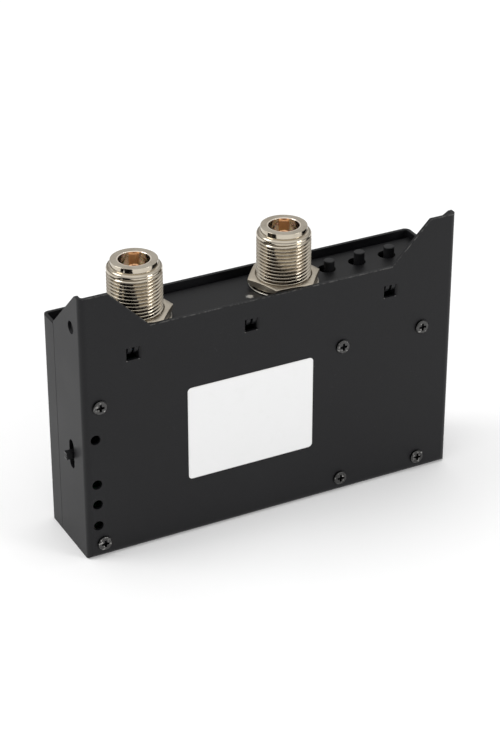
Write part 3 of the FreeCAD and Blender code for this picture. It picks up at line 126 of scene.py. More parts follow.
class Graph:
    """The nodes of one material, around a Principled shader."""

    def __init__(self, name: str) -> None:
        """Makes the material and finds its shader.

        Args:
            name: The material's name.
        """
        self.material = bpy.data.materials.new(name)
        self.material.use_nodes = True
        self.tree = self.material.node_tree
        self.shader = self.tree.nodes["Principled BSDF"]
        self._place: Wire | None = None

    def node(self, kind: str, settings: dict[str, Any] | None = None,
             inputs: dict[Any, AnyValue] | None = None, out: Any = 0) -> Wire:
        """Adds a node.

        Args:
            kind: The node's type.
            settings: Its properties, set before its sockets.
            inputs: A value or a link for each socket, by name or number.
            out: The output to return.

        Returns:
            The chosen output.
        """
        made = self.tree.nodes.new(kind)
        for name, setting in (settings or {}).items():
            setattr(made, name, setting)
        for name, value in (inputs or {}).items():
            self.feed(made.inputs[name], value)
        return Wire(self, made.outputs[out])

    def feed(self, socket: bpy.types.NodeSocket, value: AnyValue) -> None:
        """Links a wire to a socket, or sets the socket's own value."""
        if isinstance(value, Wire):
            self.tree.links.new(value.socket, socket)
        elif isinstance(value, (tuple, list)) and socket.type == "RGBA" and len(value) == 3:
            socket.default_value = (*value, 1.0)
        else:
            socket.default_value = value

    def place(self) -> Wire:
        """Returns the point on the piece, in its own metres."""
        if self._place is None:
            self._place = self.node("ShaderNodeTexCoord", out="Object")
        return self._place

    def axes(self) -> tuple[Wire, Wire, Wire]:
        """Returns the point's three coordinates in millimetres."""
        split = self.tree.nodes.new("ShaderNodeSeparateXYZ")
        self.tree.links.new(self.place().socket, split.inputs[0])
        x, y, z = (Wire(self, output) * (1 / MM) for output in split.outputs)
        return x, y, z

    def stretched(self, factors: Sequence[float]) -> Wire:
        """Returns the point with its coordinates multiplied by three factors."""
        settings = {"operation": "MULTIPLY"}
        return self.node("ShaderNodeVectorMath", settings, {0: self.place(), 1: tuple(factors)})

    def noise(self, size: float, detail: float = 3.0, rough: float = 0.5, at: Wire | None = None) -> Wire:
        """Returns a noise between 0 and 1.

        Args:
            size: The width of one blotch, in millimetres.
            detail: The number of finer layers.
            rough: How strong the finer layers are.
            at: The point to read, in metres.
        """
        inputs = {"Vector": at or self.place(), "Scale": 1 / (size * MM), "Detail": detail,
                  "Roughness": rough}
        return self.node("ShaderNodeTexNoise", {}, inputs)

    def cells(self, size: float) -> Wire:
        """Returns the distance from the nearest of many scattered points.

        Args:
            size: The space between the points, in millimetres, and the unit of the distance.
        """
        inputs = {"Vector": self.place(), "Scale": 1 / (size * MM)}
        return self.node("ShaderNodeTexVoronoi", {"feature": "F1"}, inputs, out="Distance")

    def away(self, spot: Sequence[float], unit: float) -> Wire:
        """Returns the distance from a spot.

        Args:
            spot: The spot, in millimetres.
            unit: The unit of the distance, in millimetres.
        """
        centre = tuple(part * MM for part in spot)
        settings = {"operation": "DISTANCE"}
        distance = self.node("ShaderNodeVectorMath", settings, {0: self.place(), 1: centre}, out="Value")
        return distance * (1 / (unit * MM))

    def blend(self, factor: Value, first: AnyValue, second: AnyValue) -> Wire:
        """Returns a colour between first, at factor 0, and second, at factor 1."""
        return self.node("ShaderNodeMix", {"data_type": "RGBA"}, {0: factor, 6: first, 7: second}, out=2)

    def relief(self, height: Value, depth: float, edge: float = 0.0) -> Wire:
        """Returns a normal with a relief on it.

        Args:
            height: The relief, from 0 to 1.
            depth: What a height of 1 stands for, in millimetres.
            edge: The radius of the softened edges under it, in millimetres.
        """
        inputs: dict[Any, AnyValue] = {"Height": height, "Distance": depth * MM}
        if edge:
            inputs["Normal"] = self.node("ShaderNodeBevel", {"samples": 4}, {"Radius": edge * MM})
        return self.node("ShaderNodeBump", {}, inputs)

    def finish(self, **sockets: AnyValue) -> bpy.types.Material:
        """Feeds the shader's sockets, named with underscores, and returns the material."""
        for name, value in sockets.items():
            self.feed(self.shader.inputs[name.replace("_", " ")], value)
        return self.material


class Lay(Enum):
    """The way in which the fine lines of a metal surface run."""

    TURNED = "rings round the piece's own Z axis"
    DRAWN = "lines along X"
    TUMBLED = "no direction"


@dataclass(frozen=True)
class PowderCoat:
    """Black powder coat with a fine texture, on sheet steel that shows where the coat is worn.

    All its places are in the part's own millimetres. A corner spot, a bare burr with a painted glint, is
    given by its distance along X from the middle of a tab window, and by its radius.
    """

    name: str = "powder_coat"
    colour: Colour = (0.0036, 0.0036, 0.0044)
    worn: Colour = (0.0145, 0.0145, 0.0165)
    steel: Colour = (0.62, 0.61, 0.58)
    roughness: float = 0.45
    shine: float = 0.25
    grain: float = 0.34
    grain_depth: float = 0.022
    edge: float = 0.22
    face: float = 13.4
    low_edge: float = 71.0
    ear_foot: float = 38.5
    ear_rise: float = 12.4
    edge_line_width: float = 0.22
    edge_line_depth: float = 0.25
    edge_line_strength: float = 0.1
    windows: tuple[float, ...] = (44.1, 7.5, -37.7)
    window_low: float = 61.45
    bend_side: float = -1.9
    bend_height: float = 1.6
    bend_reach: float = 2.2
    painted_bend_shade: Colour = (0.0004, 0.0004, 0.0005)
    bend_shade_strength: float = 0.75
    corner_spots: tuple[Point, ...] = ((1.75, 0.34), (-1.9, 0.3))
    corner_spot_strength: float = 0.16
    scrape: tuple[float, float, float] = (1.74, 1.5, 65.6)
    scrape_radius: float = 1.5
    scrape_strength: float = 0.75

    def _chip(self, graph: Graph, spot: Sequence[float], radius: float) -> Wire:
        """Returns 1 inside a small ragged spot where the coat is gone, and 0 elsewhere.

        Args:
            graph: The material's nodes.
            spot: The middle of the spot, in millimetres.
            radius: Its radius in millimetres.
        """
        ragged = graph.away(spot, radius) + graph.noise(radius * 0.6, 3.0, 0.6) * 1.2
        return 1.0 - ragged.step(0.95, 1.5)

    def _corner_burrs_and_glints(self, graph: Graph) -> Wire:
        """Returns the mask of the faint pale spots at the lower corners of the tab windows: bare burrs with
        painted glints.
        """
        mask = None
        for along, radius in self.corner_spots:
            for middle in self.windows:
                chip = self._chip(graph, (middle + along, self.face, self.window_low), radius)
                mask = chip if mask is None else mask + chip
        return mask

    def _bend_shade_mask(self, graph: Graph) -> Wire:
        """Returns the mask of the painted shade beside each window, on the side of its tab's bend."""
        depth = None
        for middle in self.windows:
            spot = (middle + self.bend_side, self.face, self.window_low + self.bend_height)
            near = 1.0 - graph.away(spot, self.bend_reach).step(0.0, 1.0)
            depth = near if depth is None else depth + near
        return depth

    def _edge_wear_and_highlight(self, graph: Graph) -> Wire:
        """Returns where a pale line runs along the rear cover's top edge, which climbs to two ears: rubbed
        coat with a painted highlight of the lit edge.
        """
        x, y, z = graph.axes()
        inputs = {"Value": abs(x) - self.ear_foot, "Min": 0.0, "Max": self.ear_rise}
        climb = graph.node("ShaderNodeClamp", {}, inputs)
        at_edge = (z > climb + (self.low_edge - self.edge_line_width)) * (y > self.face - self.edge_line_depth)
        return at_edge * graph.noise(1.4, 3.0, 0.7).step(0.42, 0.62)

    def material(self) -> bpy.types.Material:
        """Returns the finish as a material."""
        graph = Graph(self.name)
        grain = graph.noise(self.grain, 2.0, 0.6)
        pits = graph.cells(self.grain * 2.2)
        cloud = graph.noise(26.0, 3.0)
        dust = graph.noise(0.6, 1.0).step(0.66, 0.78) * graph.noise(9.0, 2.0).step(0.5, 0.72)
        tone = grain * 0.45 + cloud * 0.35 + dust * 0.5
        coat = graph.blend(tone.step(0.1, 1.25), self.colour, self.worn)
        # Painted shade: the coat is darkened beside each window's tab bend.
        coat = graph.blend(self._bend_shade_mask(graph) * self.bend_shade_strength, coat, self.painted_bend_shade)
        scraped = self._chip(graph, self.scrape, self.scrape_radius)
        # Pale marks: the top edge line is rubbed coat with a painted highlight, and the corner spots are bare
        # burrs with painted glints.
        edge_and_corner_marks = self._edge_wear_and_highlight(graph) * self.edge_line_strength + self._corner_burrs_and_glints(graph) * self.corner_spot_strength
        colour = graph.blend(edge_and_corner_marks + scraped * self.scrape_strength, coat, self.steel)
        gloss = cloud * 0.12 + grain * 0.1 + (self.roughness - 0.1) - scraped * 0.1
        normal = graph.relief(grain * 0.7 + pits * 0.3 - scraped, self.grain_depth, self.edge)
        return graph.finish(Base_Color=colour, Metallic=scraped, Roughness=gloss,
                            Specular_IOR_Level=self.shine, Normal=normal)


@dataclass(frozen=True)
class PlatedMetal:
    """Bare or plated metal with the fine lines of its making.

    On a threaded socket, groove is the radius of the thread's roots, which get a painted shade. It fades out
    inwards between the two radii of nose, and painted light in the bore ends between the two radii of bore.
    """

    name: str
    colour: Colour
    tarnish: Colour
    roughness: float = 0.2
    lay: Lay = Lay.TUMBLED
    line: float = 0.12
    depth: float = 0.0025
    edge: float = 0.08
    centre: Point = (0.0, 0.0)
    groove: float = 0.0
    groove_width: float = 0.35
    painted_root_shade: Colour = (0.05, 0.036, 0.022)
    root_shade_strength: float = 0.35
    nose: Point = (7.2, 7.3)
    bore: Point = (4.7, 5.0)
    painted_bore_light: Colour = (0.9, 0.8, 0.68)

    def _radius(self, graph: Graph) -> Wire:
        """Returns the distance from the turned piece's axis, in millimetres."""
        x, y, _ = graph.axes()
        across = x - self.centre[0]
        along = y - self.centre[1]
        return (across * across + along * along) ** 0.5

    def _lines(self, graph: Graph) -> Wire:
        """Returns the height of the fine lines."""
        if self.lay is Lay.DRAWN:
            return graph.noise(self.line, 2.0, at=graph.stretched((0.05, 1.0, 1.0)))
        if self.lay is Lay.TUMBLED:
            return graph.noise(self.line * 3, 4.0, 0.6)
        _, _, z = graph.axes()
        ring = graph.node("ShaderNodeCombineXYZ", {}, {"X": self._radius(graph) * MM, "Y": z * MM})
        return graph.noise(self.line, 3.0, 0.6, at=ring)

    def material(self) -> bpy.types.Material:
        """Returns the finish as a material."""
        graph = Graph(self.name)
        lines = self._lines(graph)
        stain = graph.noise(5.0, 4.0, 0.6).step(0.42, 0.75)
        specks = graph.noise(0.5, 2.0).step(0.68, 0.8)
        colour = graph.blend(stain * 0.55 + specks * 0.25, self.colour, self.tarnish)
        if self.groove:
            radius = self._radius(graph)
            # Painted shade: the thread's roots are darkened.
            root = (1.0 - radius.step(self.groove, self.groove + self.groove_width)) * radius.step(*self.nose)
            colour = graph.blend(root * self.root_shade_strength, colour, self.painted_root_shade)
            # Painted light: the bore is lightened towards a pale colour.
            colour = graph.blend(1.0 - radius.step(*self.bore), colour, self.painted_bore_light)
        gloss = lines * 0.12 + stain * 0.1 + specks * 0.15 + (self.roughness - 0.06)
        normal = graph.relief(lines, self.depth, self.edge)
        return graph.finish(Base_Color=colour, Metallic=1.0, Roughness=gloss, Normal=normal)


@dataclass(frozen=True)
class BlackNickel:
    """Black plating on the rear screws, worn bright on the face of each head."""

    name: str = "black_nickel"
    colour: Colour = (0.006, 0.006, 0.0065)
    worn: Colour = (0.075, 0.074, 0.073)
    bright: Colour = (0.5, 0.49, 0.47)
    face: float = 14.2
    edge_height: float = 0.3

    def material(self) -> bpy.types.Material:
        """Returns the finish as a material."""
        graph = Graph(self.name)
        _, y, _ = graph.axes()
        outside = y.step(self.face - self.edge_height, self.face - self.edge_height + 0.1)
        blotch = graph.noise(1.1, 3.0, 0.6)
        rubbed = outside * graph.noise(0.8, 2.0).step(0.58, 0.72)
        colour = graph.blend(outside, self.colour, self.worn)
        colour = graph.blend(rubbed * 0.7, colour, self.bright)
        gloss = blotch * 0.16 + 0.22 - outside * 0.06
        normal = graph.relief(blotch, 0.02, edge=0.1)
        return graph.finish(Base_Color=colour, Metallic=1.0, Roughness=gloss, Normal=normal)


@dataclass(frozen=True)
class Moulding:
    """Moulded plastic, from fine matt to gloss."""

    name: str
    colour: Colour
    roughness: float = 0.45
    grain: float = 0.12
    depth: float = 0.006
    edge: float = 0.1
    glow: float = 0.0
    shine: float = 0.5

    def material(self) -> bpy.types.Material:
        """Returns the finish as a material."""
        graph = Graph(self.name)
        grain = graph.noise(self.grain, 3.0, 0.6)
        cloud = graph.noise(3.5, 3.0)
        pale = tuple(min(1.0, part * 1.4 + 0.003) for part in self.colour)
        colour = graph.blend(grain * 0.4 + cloud * 0.6, self.colour, pale)
        gloss = cloud * 0.16 + grain * 0.06 + (self.roughness - 0.1)
        normal = graph.relief(grain, self.depth, self.edge)
        return graph.finish(Base_Color=colour, Roughness=gloss, Subsurface_Weight=self.glow,
                            Subsurface_Scale=0.4 * MM, Specular_IOR_Level=self.shine, Normal=normal)


@dataclass(frozen=True)
class Vinyl:
    """The blank white label: satin vinyl with a slightly darker rim and a few marks of handling."""

    name: str = "label_vinyl"
    colour: Colour = (0.88, 0.88, 0.88)
    aged: Colour = (0.77, 0.768, 0.75)
    centre: Point = (7.45, 33.1)
    half: Point = (20.1, 14.9)
    rim: float = 0.7

    def material(self) -> bpy.types.Material:
        """Returns the finish as a material."""
        graph = Graph(self.name)
        x, _, z = graph.axes()
        inward_x = self.half[0] - abs(x - self.centre[0])
        inward_z = self.half[1] - abs(z - self.centre[1])
        rim = 1.0 - inward_x.step(0.0, self.rim) * inward_z.step(0.0, self.rim)
        fibre = graph.noise(0.22, 3.0, 0.7)
        marks = graph.noise(4.5, 4.0, 0.65).step(0.52, 0.86)
        colour = graph.blend(rim * 0.55 + marks * 0.35 + fibre * 0.12, self.colour, self.aged)
        gloss = fibre * 0.08 + marks * 0.16 + 0.34
        normal = graph.relief(fibre * 0.7 + marks * 0.6, 0.006, edge=0.06)
        return graph.finish(Base_Color=colour, Roughness=gloss, Normal=normal)


@dataclass(frozen=True)
class CoverGlass:
    """The touch panel: clear glass over a black printed border and a sleeping display."""

    name: str = "cover_glass"
    border: Colour = (0.004, 0.004, 0.0045)
    screen: Colour = (0.014, 0.016, 0.019)
    centre: Point = (2.55, 32.5)
    half: Point = (43.2, 24.6)
    blur: float = 0.12

    def material(self) -> bpy.types.Material:
        """Returns the finish as a material."""
        graph = Graph(self.name)
        x, _, z = graph.axes()
        inside_x = (self.half[0] - abs(x - self.centre[0])).step(0.0, self.blur)
        inside_z = (self.half[1] - abs(z - self.centre[1])).step(0.0, self.blur)
        lit = inside_x * inside_z
        dots = graph.noise(0.16, 1.0)
        screen = graph.blend(dots, self.screen, tuple(part * 1.25 for part in self.screen))
        smear = graph.noise(15.0, 4.0, 0.6).step(0.52, 0.8)
        gloss = smear * 0.09 + 0.035 + lit * 0.015
        normal = graph.relief(graph.noise(30.0, 1.0), 0.02, edge=0.1)
        return graph.finish(Base_Color=graph.blend(lit, self.border, screen), Roughness=gloss,
                            Coat_Weight=0.6, Coat_Roughness=0.03, Normal=normal)


@dataclass(frozen=True)
class Laminate:
    """The circuit board: green solder mask over copper tracks, with plated pads."""

    name: str = "circuit_board"
    mask: Colour = (0.008, 0.07, 0.03)
    track: Colour = (0.014, 0.115, 0.05)
    pad: Colour = (0.72, 0.7, 0.62)

    def material(self) -> bpy.types.Material:
        """Returns the finish as a material."""
        graph = Graph(self.name)
        x, _, z = graph.axes()
        block = graph.noise(7.0, 1.0)
        lines_x = (x * 1.1 + block * 6.0).fraction().step(0.4, 0.5)
        lines_z = (z * 1.1 + block * 5.0).fraction().step(0.4, 0.5)
        upright = block.step(0.48, 0.52)
        copper = lines_x * upright + lines_z * (1.0 - upright)
        spots = 1.0 - graph.cells(2.6).step(0.1, 0.13)
        pads = spots * graph.noise(11.0, 1.0).step(0.5, 0.53)
        colour = graph.blend(pads, graph.blend(copper, self.mask, self.track), self.pad)
        normal = graph.relief(copper * 0.5 + pads * 0.5, 0.03, edge=0.05)
        return graph.finish(Base_Color=colour, Metallic=pads * 0.9, Roughness=0.3 - pads * 0.05,
                            Coat_Weight=0.2, Normal=normal)


@dataclass(frozen=True)
class Foam:
    """Closed-cell foam of the gasket and of the battery's tape."""

    name: str = "gasket_foam"
    colour: Colour = (0.02, 0.02, 0.021)
    cell: float = 0.28

    def material(self) -> bpy.types.Material:
        """Returns the finish as a material."""
        graph = Graph(self.name)
        cells = graph.cells(self.cell)
        cloud = graph.noise(2.2, 2.0)
        pale = tuple(part * 2.4 for part in self.colour)
        colour = graph.blend(cells * 0.6 + cloud * 0.4, self.colour, pale)
        return graph.finish(Base_Color=colour, Roughness=0.85 + cells * 0.1,
                            Normal=graph.relief(cells, 0.06))


@dataclass(frozen=True)
class Foil:
    """The pouch of the battery: matt laminate foil, with shallow creases."""

    name: str = "battery_foil"
    colour: Colour = (0.55, 0.56, 0.58)
    dull: Colour = (0.4, 0.4, 0.41)

    def material(self) -> bpy.types.Material:
        """Returns the finish as a material."""
        graph = Graph(self.name)
        crease = graph.noise(6.0, 4.0, 0.45)
        weave = graph.cells(0.5)
        colour = graph.blend(crease.step(0.35, 0.7), self.colour, self.dull)
        normal = graph.relief(crease * 0.8 + weave * 0.08, 0.35, edge=0.3)
        return graph.finish(Base_Color=colour, Metallic=0.85, Roughness=0.34 + weave * 0.12, Normal=normal)


@dataclass(frozen=True)
class RibbonFilm:
    """Amber film with fine tracks that run up and down it."""

    name: str = "ribbon_film"
    film: Colour = (0.42, 0.17, 0.03)
    track: Colour = (0.6, 0.3, 0.08)
    pitch: float = 0.5

    def material(self) -> bpy.types.Material:
        """Returns the finish as a material."""
        graph = Graph(self.name)
        x, _, _ = graph.axes()
        tracks = (x * (1 / self.pitch)).fraction().step(0.42, 0.55)
        cloud = graph.noise(4.0, 2.0)
        colour = graph.blend(tracks * 0.8 + cloud * 0.2, self.film, self.track)
        normal = graph.relief(tracks, 0.02)
        return graph.finish(Base_Color=colour, Roughness=0.26 + cloud * 0.1, Coat_Weight=0.3, Normal=normal)


def nickel(name: str, centre: Point, roughness: float = 0.1, groove: float = 0.0) -> PlatedMetal:
    """Returns the warm nickel of the sockets, turned about a given axis."""
    return PlatedMetal(name, (0.54, 0.487, 0.4), (0.34, 0.275, 0.2), roughness, Lay.TURNED, line=0.1,
                       depth=0.0012, edge=0.05, centre=centre, groove=groove)


@dataclass(frozen=True)
class Dresser:
    """Gives materials to the nodes of the frame and adds new pieces to it."""

    nodes: dict[str, bpy.types.Object]

    def dress(self, finish: Any, *names: str) -> None:
        """Gives one finish to all the named nodes."""
        material = finish.material()
        for name in names:
            self.paint(self.nodes[name], material)
        log.info("%s on %s", finish.name, ", ".join(names))

    def paint(self, piece: bpy.types.Object, material: bpy.types.Material) -> None:
        """Puts one material in every slot of a piece."""
        if not piece.material_slots:
            piece.data.materials.append(material)
        for place in piece.material_slots:
            place.material = material

    def add(self, name: str, mesh: bmesh.types.BMesh, finish: Any, body: str, slot: str,
            instead_of: Sequence[str] = (), crease: float = 34.0) -> None:
        """Turns a mesh into a piece of the part.

        Args:
            name: The piece's name.
            mesh: Its mesh, in millimetres; it is used up.
            finish: Its finish.
            body: The body that it moves with.
            slot: The name of a finish slot; it is not used.
            instead_of: The nodes that it stands for.
            crease: The angle in degrees above which an edge stays sharp.
        """
        bmesh.ops.scale(mesh, vec=(MM, MM, MM), verts=mesh.verts)
        bmesh.ops.remove_doubles(mesh, verts=mesh.verts, dist=1e-7)
        bmesh.ops.recalc_face_normals(mesh, faces=mesh.faces)
        for face in mesh.faces:
            face.smooth = True
        for edge in mesh.edges:
            edge.smooth = edge.calc_face_angle(0.0) < math.radians(crease)
        data = bpy.data.meshes.new(name)
        mesh.to_mesh(data)
        mesh.free()
        piece = bpy.data.objects.new(name, data)
        bpy.context.scene.collection.objects.link(piece)
        data.materials.append(finish.material())
        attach(piece, body)
        if instead_of:
            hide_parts(*instead_of)
        log.info("%s: %d faces on %s", name, len(data.polygons), body)


def wrap(columns: Sequence[Sequence[Sequence[float]]],
         mesh: bmesh.types.BMesh | None = None) -> bmesh.types.BMesh:
    """Makes a surface from columns of points that stand side by side.

    Args:
        columns: The columns, all with the same number of points, in millimetres.
        mesh: The mesh that it is added to; a new one if it isn't given.

    Returns:
        The mesh, with its repeated points merged.
    """
    if mesh is None:
        mesh = bmesh.new()
    rows = [[mesh.verts.new(point) for point in column] for column in columns]
    for left, right in zip(rows, rows[1:]):
        for i in range(len(left) - 1):
            mesh.faces.new((left[i], right[i], right[i + 1], left[i + 1]))
    bmesh.ops.remove_doubles(mesh, verts=mesh.verts, dist=1e-4)
    return mesh


def turned(profile: Callable[[float], Sequence[Point]], centre: Point, steps: int) -> bmesh.types.BMesh:
    """Makes a turned mesh whose profile may change with the angle.

    The last column lies exactly on the direction of the first, so that the two can be merged.

    Args:
        profile: Gives the profile's radii and heights at an angle.
        centre: The axis, as X and Y in millimetres.
        steps: The number of columns in a turn.
    """
    columns = []
    for i in range(steps + 1):
        angle = math.tau * i / steps
        cosine = math.cos(math.tau * (i % steps) / steps)
        sine = math.sin(math.tau * (i % steps) / steps)
        points = profile(angle)
        columns.append([(centre[0] + r * cosine, centre[1] + r * sine, z) for r, z in points])
    return wrap(columns)


@dataclass(frozen=True)
class CoaxialSocket:
    """One threaded socket with its nut, lock washer, insulator and centre contact.

    Each radius is measured from the axis, and so are flange_half, to a flat side, and nut_corner.
    nut_flats is the distance between two opposite sides. An ease is a small softened edge, and a
    pair gives it along the radius and along Z. thread_shape follows one turn of the thread, as
    parts of the pitch with a height from 0 at the root to 1 at the crest.
    """

    number: int
    centre: Point
    nut_turn: float
    plate: float = 65.6
    sheet: float = 1.0
    shank_radius: float = 7.7
    crest_radius: float = 7.9375
    pitch: float = 1.0583
    thread_depth: float = 0.649
    thread_start: float = 1.4
    thread_top: float = 81.25
    thread_fade: float = 0.7
    thread_shape: tuple[Point, ...] = (
        (0.0, 1.0), (0.0625, 0.96), (0.4375, 0.04), (0.5, 0.0), (0.5625, 0.04), (0.9375, 0.96),
    )
    band: float = 0.1
    shoulder: float = 1.05
    shoulder_steps: int = 8
    nose_radius: float = 6.75
    nose_height: float = 1.55
    nose_ease: float = 0.05
    bore_radius: float = 4.5
    bore_depth: float = 9.1
    lip: float = 0.1
    coax_radius: float = 3.5
    flange_radius: float = 9.2
    flange_half: float = 8.4
    flange_height: float = 2.3
    barrel_radius: float = 5.5
    barrel_height: float = 3.5
    washer_height: float = 0.9
    washer_radius: float = 10.3
    washer_rim: float = 0.45
    washer_span: Point = (0.08, 0.5)
    washer_ease: float = 0.08
    teeth: int = 16
    tooth_span: Point = (0.24, 0.76)
    tooth_root: float = 0.05
    tooth_gap: float = 0.15
    twist: float = 0.2
    nut_height: float = 2.2
    nut_flats: float = 19.05
    nut_corner: float = 10.9
    nut_chamfer: float = 0.75
    nut_inset: float = 0.03
    nut_ease: Point = (0.04, 0.03)
    nut_gap: float = 0.05
    crown_start: float = 8.95
    crown_drop: float = 0.5
    mouth_radius: float = 8.3
    mouth_depth: float = 0.4
    body_steps: int = 120
    nut_steps: int = 360
    washer_steps: int = 256

    @property
    def nut_top(self) -> float:
        """The height of the nut's upper face."""
        return self.plate + self.washer_height + self.nut_height

    @property
    def thread_low(self) -> float:
        """The height at which the thread starts, inside the nut."""
        return self.nut_top - self.thread_start

    def _thread(self, angle: float) -> list[Point]:
        """Returns the thread's profile at an angle, from its foot up to the plain band."""
        low = self.thread_low
        high = self.thread_top
        turns = math.ceil((high - low) / self.pitch) + 2
        points = []
        for turn in range(-2, turns):
            for phase, height in self.thread_shape:
                z = low + (turn + phase + angle / math.tau) * self.pitch
                z = min(max(z, low), high)
                fade = min(1.0, max(0.0, (high - z) / (self.thread_fade * self.pitch)))
                points.append((self.crest_radius - (1.0 - height) * self.thread_depth * fade, z))
        return points

    def _shoulder(self, low: float) -> list[Point]:
        """Returns the rounding that leads from the band, whose top is at low, in to the nose."""
        middle = self.crest_radius - self.shoulder
        points = []
        for i in range(self.shoulder_steps + 1):
            turn = math.pi / 2 * i / self.shoulder_steps
            points.append((middle + self.shoulder * math.cos(turn), low + self.shoulder * math.sin(turn)))
        return points

    def _body(self, angle: float) -> list[Point]:
        """Returns the socket body's whole profile at an angle."""
        under = self.plate - self.sheet
        foot = under - self.flange_height
        base = foot - self.barrel_height
        band_top = self.thread_top + self.band
        nose_low = band_top + self.shoulder
        top = nose_low + self.nose_height
        seat = top - self.bore_depth
        ease = self.nose_ease
        flat = self.flange_half / max(abs(math.sin(angle)), 1e-6)
        flange = min(self.flange_radius, flat)
        below = [
            (self.coax_radius, seat), (self.coax_radius, base),
            (self.barrel_radius, base), (self.barrel_radius, foot),
            (flange, foot), (flange, under),
            (self.shank_radius, under), (self.shank_radius, self.thread_low),
        ]
        above = [
            (self.nose_radius, nose_low + ease), (self.nose_radius, top - ease),
            (self.nose_radius - ease, top),
            (self.bore_radius + self.lip, top), (self.bore_radius, top - self.lip),
            (self.bore_radius, seat), (self.coax_radius, seat),
        ]
        return below + self._thread(angle) + self._shoulder(band_top) + above

    def _nut(self, angle: float) -> list[Point]:
        """Returns the nut's profile at an angle: a hexagon with a shallow crown, turned down below."""
        low = self.plate + self.washer_height
        high = self.nut_top
        off_flat = (math.degrees(angle) - self.nut_turn) % 60.0 - 30.0
        side = min(self.nut_flats / 2 / math.cos(math.radians(off_flat)), self.nut_corner)
        inner = self.nut_flats / 2 - self.nut_inset
        rise = (side - inner) / (self.nut_corner - inner) * self.nut_chamfer
        drop = (side - self.crown_start) / (self.nut_corner - self.crown_start) * self.crown_drop
        across, down = self.nut_ease
        bore = self.shank_radius + self.nut_gap
        return [
            (bore, low), (inner, low), (side, low + rise), (side, high - drop - down),
            (side - across, high - drop), (self.crown_start, high), (self.mouth_radius, high),
            (self.mouth_radius - self.mouth_depth, high - self.mouth_depth),
            (bore, high - self.mouth_depth - self.nut_gap), (bore, low),
        ]

    def _washer(self, angle: float) -> list[Point]:
        """Returns the lock washer's profile at an angle: a ring with twisted teeth inside it."""
        along = (angle / math.tau * self.teeth) % 1.0
        tooth = 1.0 if self.tooth_span[0] < along < self.tooth_span[1] else 0.0
        ring = self.washer_radius - self.washer_rim
        root = ring - self.tooth_root
        inner = root - (root - self.shank_radius - self.tooth_gap) * tooth
        lean = (along - 0.5) * 2 * self.twist * tooth
        low, high = (self.plate + part for part in self.washer_span)
        ease = self.washer_ease
        edge = self.washer_radius - ease
        return [
            (inner, low + lean), (ring, low), (edge, low), (self.washer_radius, low + ease),
            (self.washer_radius, high - ease), (edge, high), (ring, high), (inner, high + lean),
            (inner, low + lean),
        ]

    def build(self, dresser: Dresser) -> None:
        """Makes the turned pieces and dresses the others."""
        name = f"port_{self.number}"
        metal = nickel(name + "_nickel", self.centre, groove=7.33)
        body = turned(self._body, self.centre, self.body_steps)
        dresser.add(name + "_threaded_body", body, metal, "case", "nickel", [name + "_body"])
        satin = nickel(name + "_nut_nickel", self.centre, roughness=0.36)
        nut = turned(self._nut, self.centre, self.nut_steps)
        dresser.add(name + "_hexagon_nut", nut, satin, "case", "nickel", [name + "_nut"], crease=25.0)
        zinc = PlatedMetal(name + "_zinc", (0.5, 0.48, 0.44), (0.25, 0.22, 0.18), roughness=0.3)
        washer = turned(self._washer, self.centre, self.washer_steps)
        dresser.add(name + "_toothed_washer", washer, zinc, "case", "zinc_steel", [name + "_lock_washer"])
        white = Moulding(name + "_fluoropolymer", (0.78, 0.77, 0.73), roughness=0.4, grain=0.3, depth=0.01,
                         edge=0.1, glow=0.2)
        dresser.dress(white, name + "_insulator")
        gold = PlatedMetal(name + "_gold", (0.87, 0.55, 0.31), (0.68, 0.39, 0.2), roughness=0.6,
                           lay=Lay.TURNED, line=0.08, depth=0.001, edge=0.05, centre=self.centre)
        dresser.dress(gold, name + "_contact")


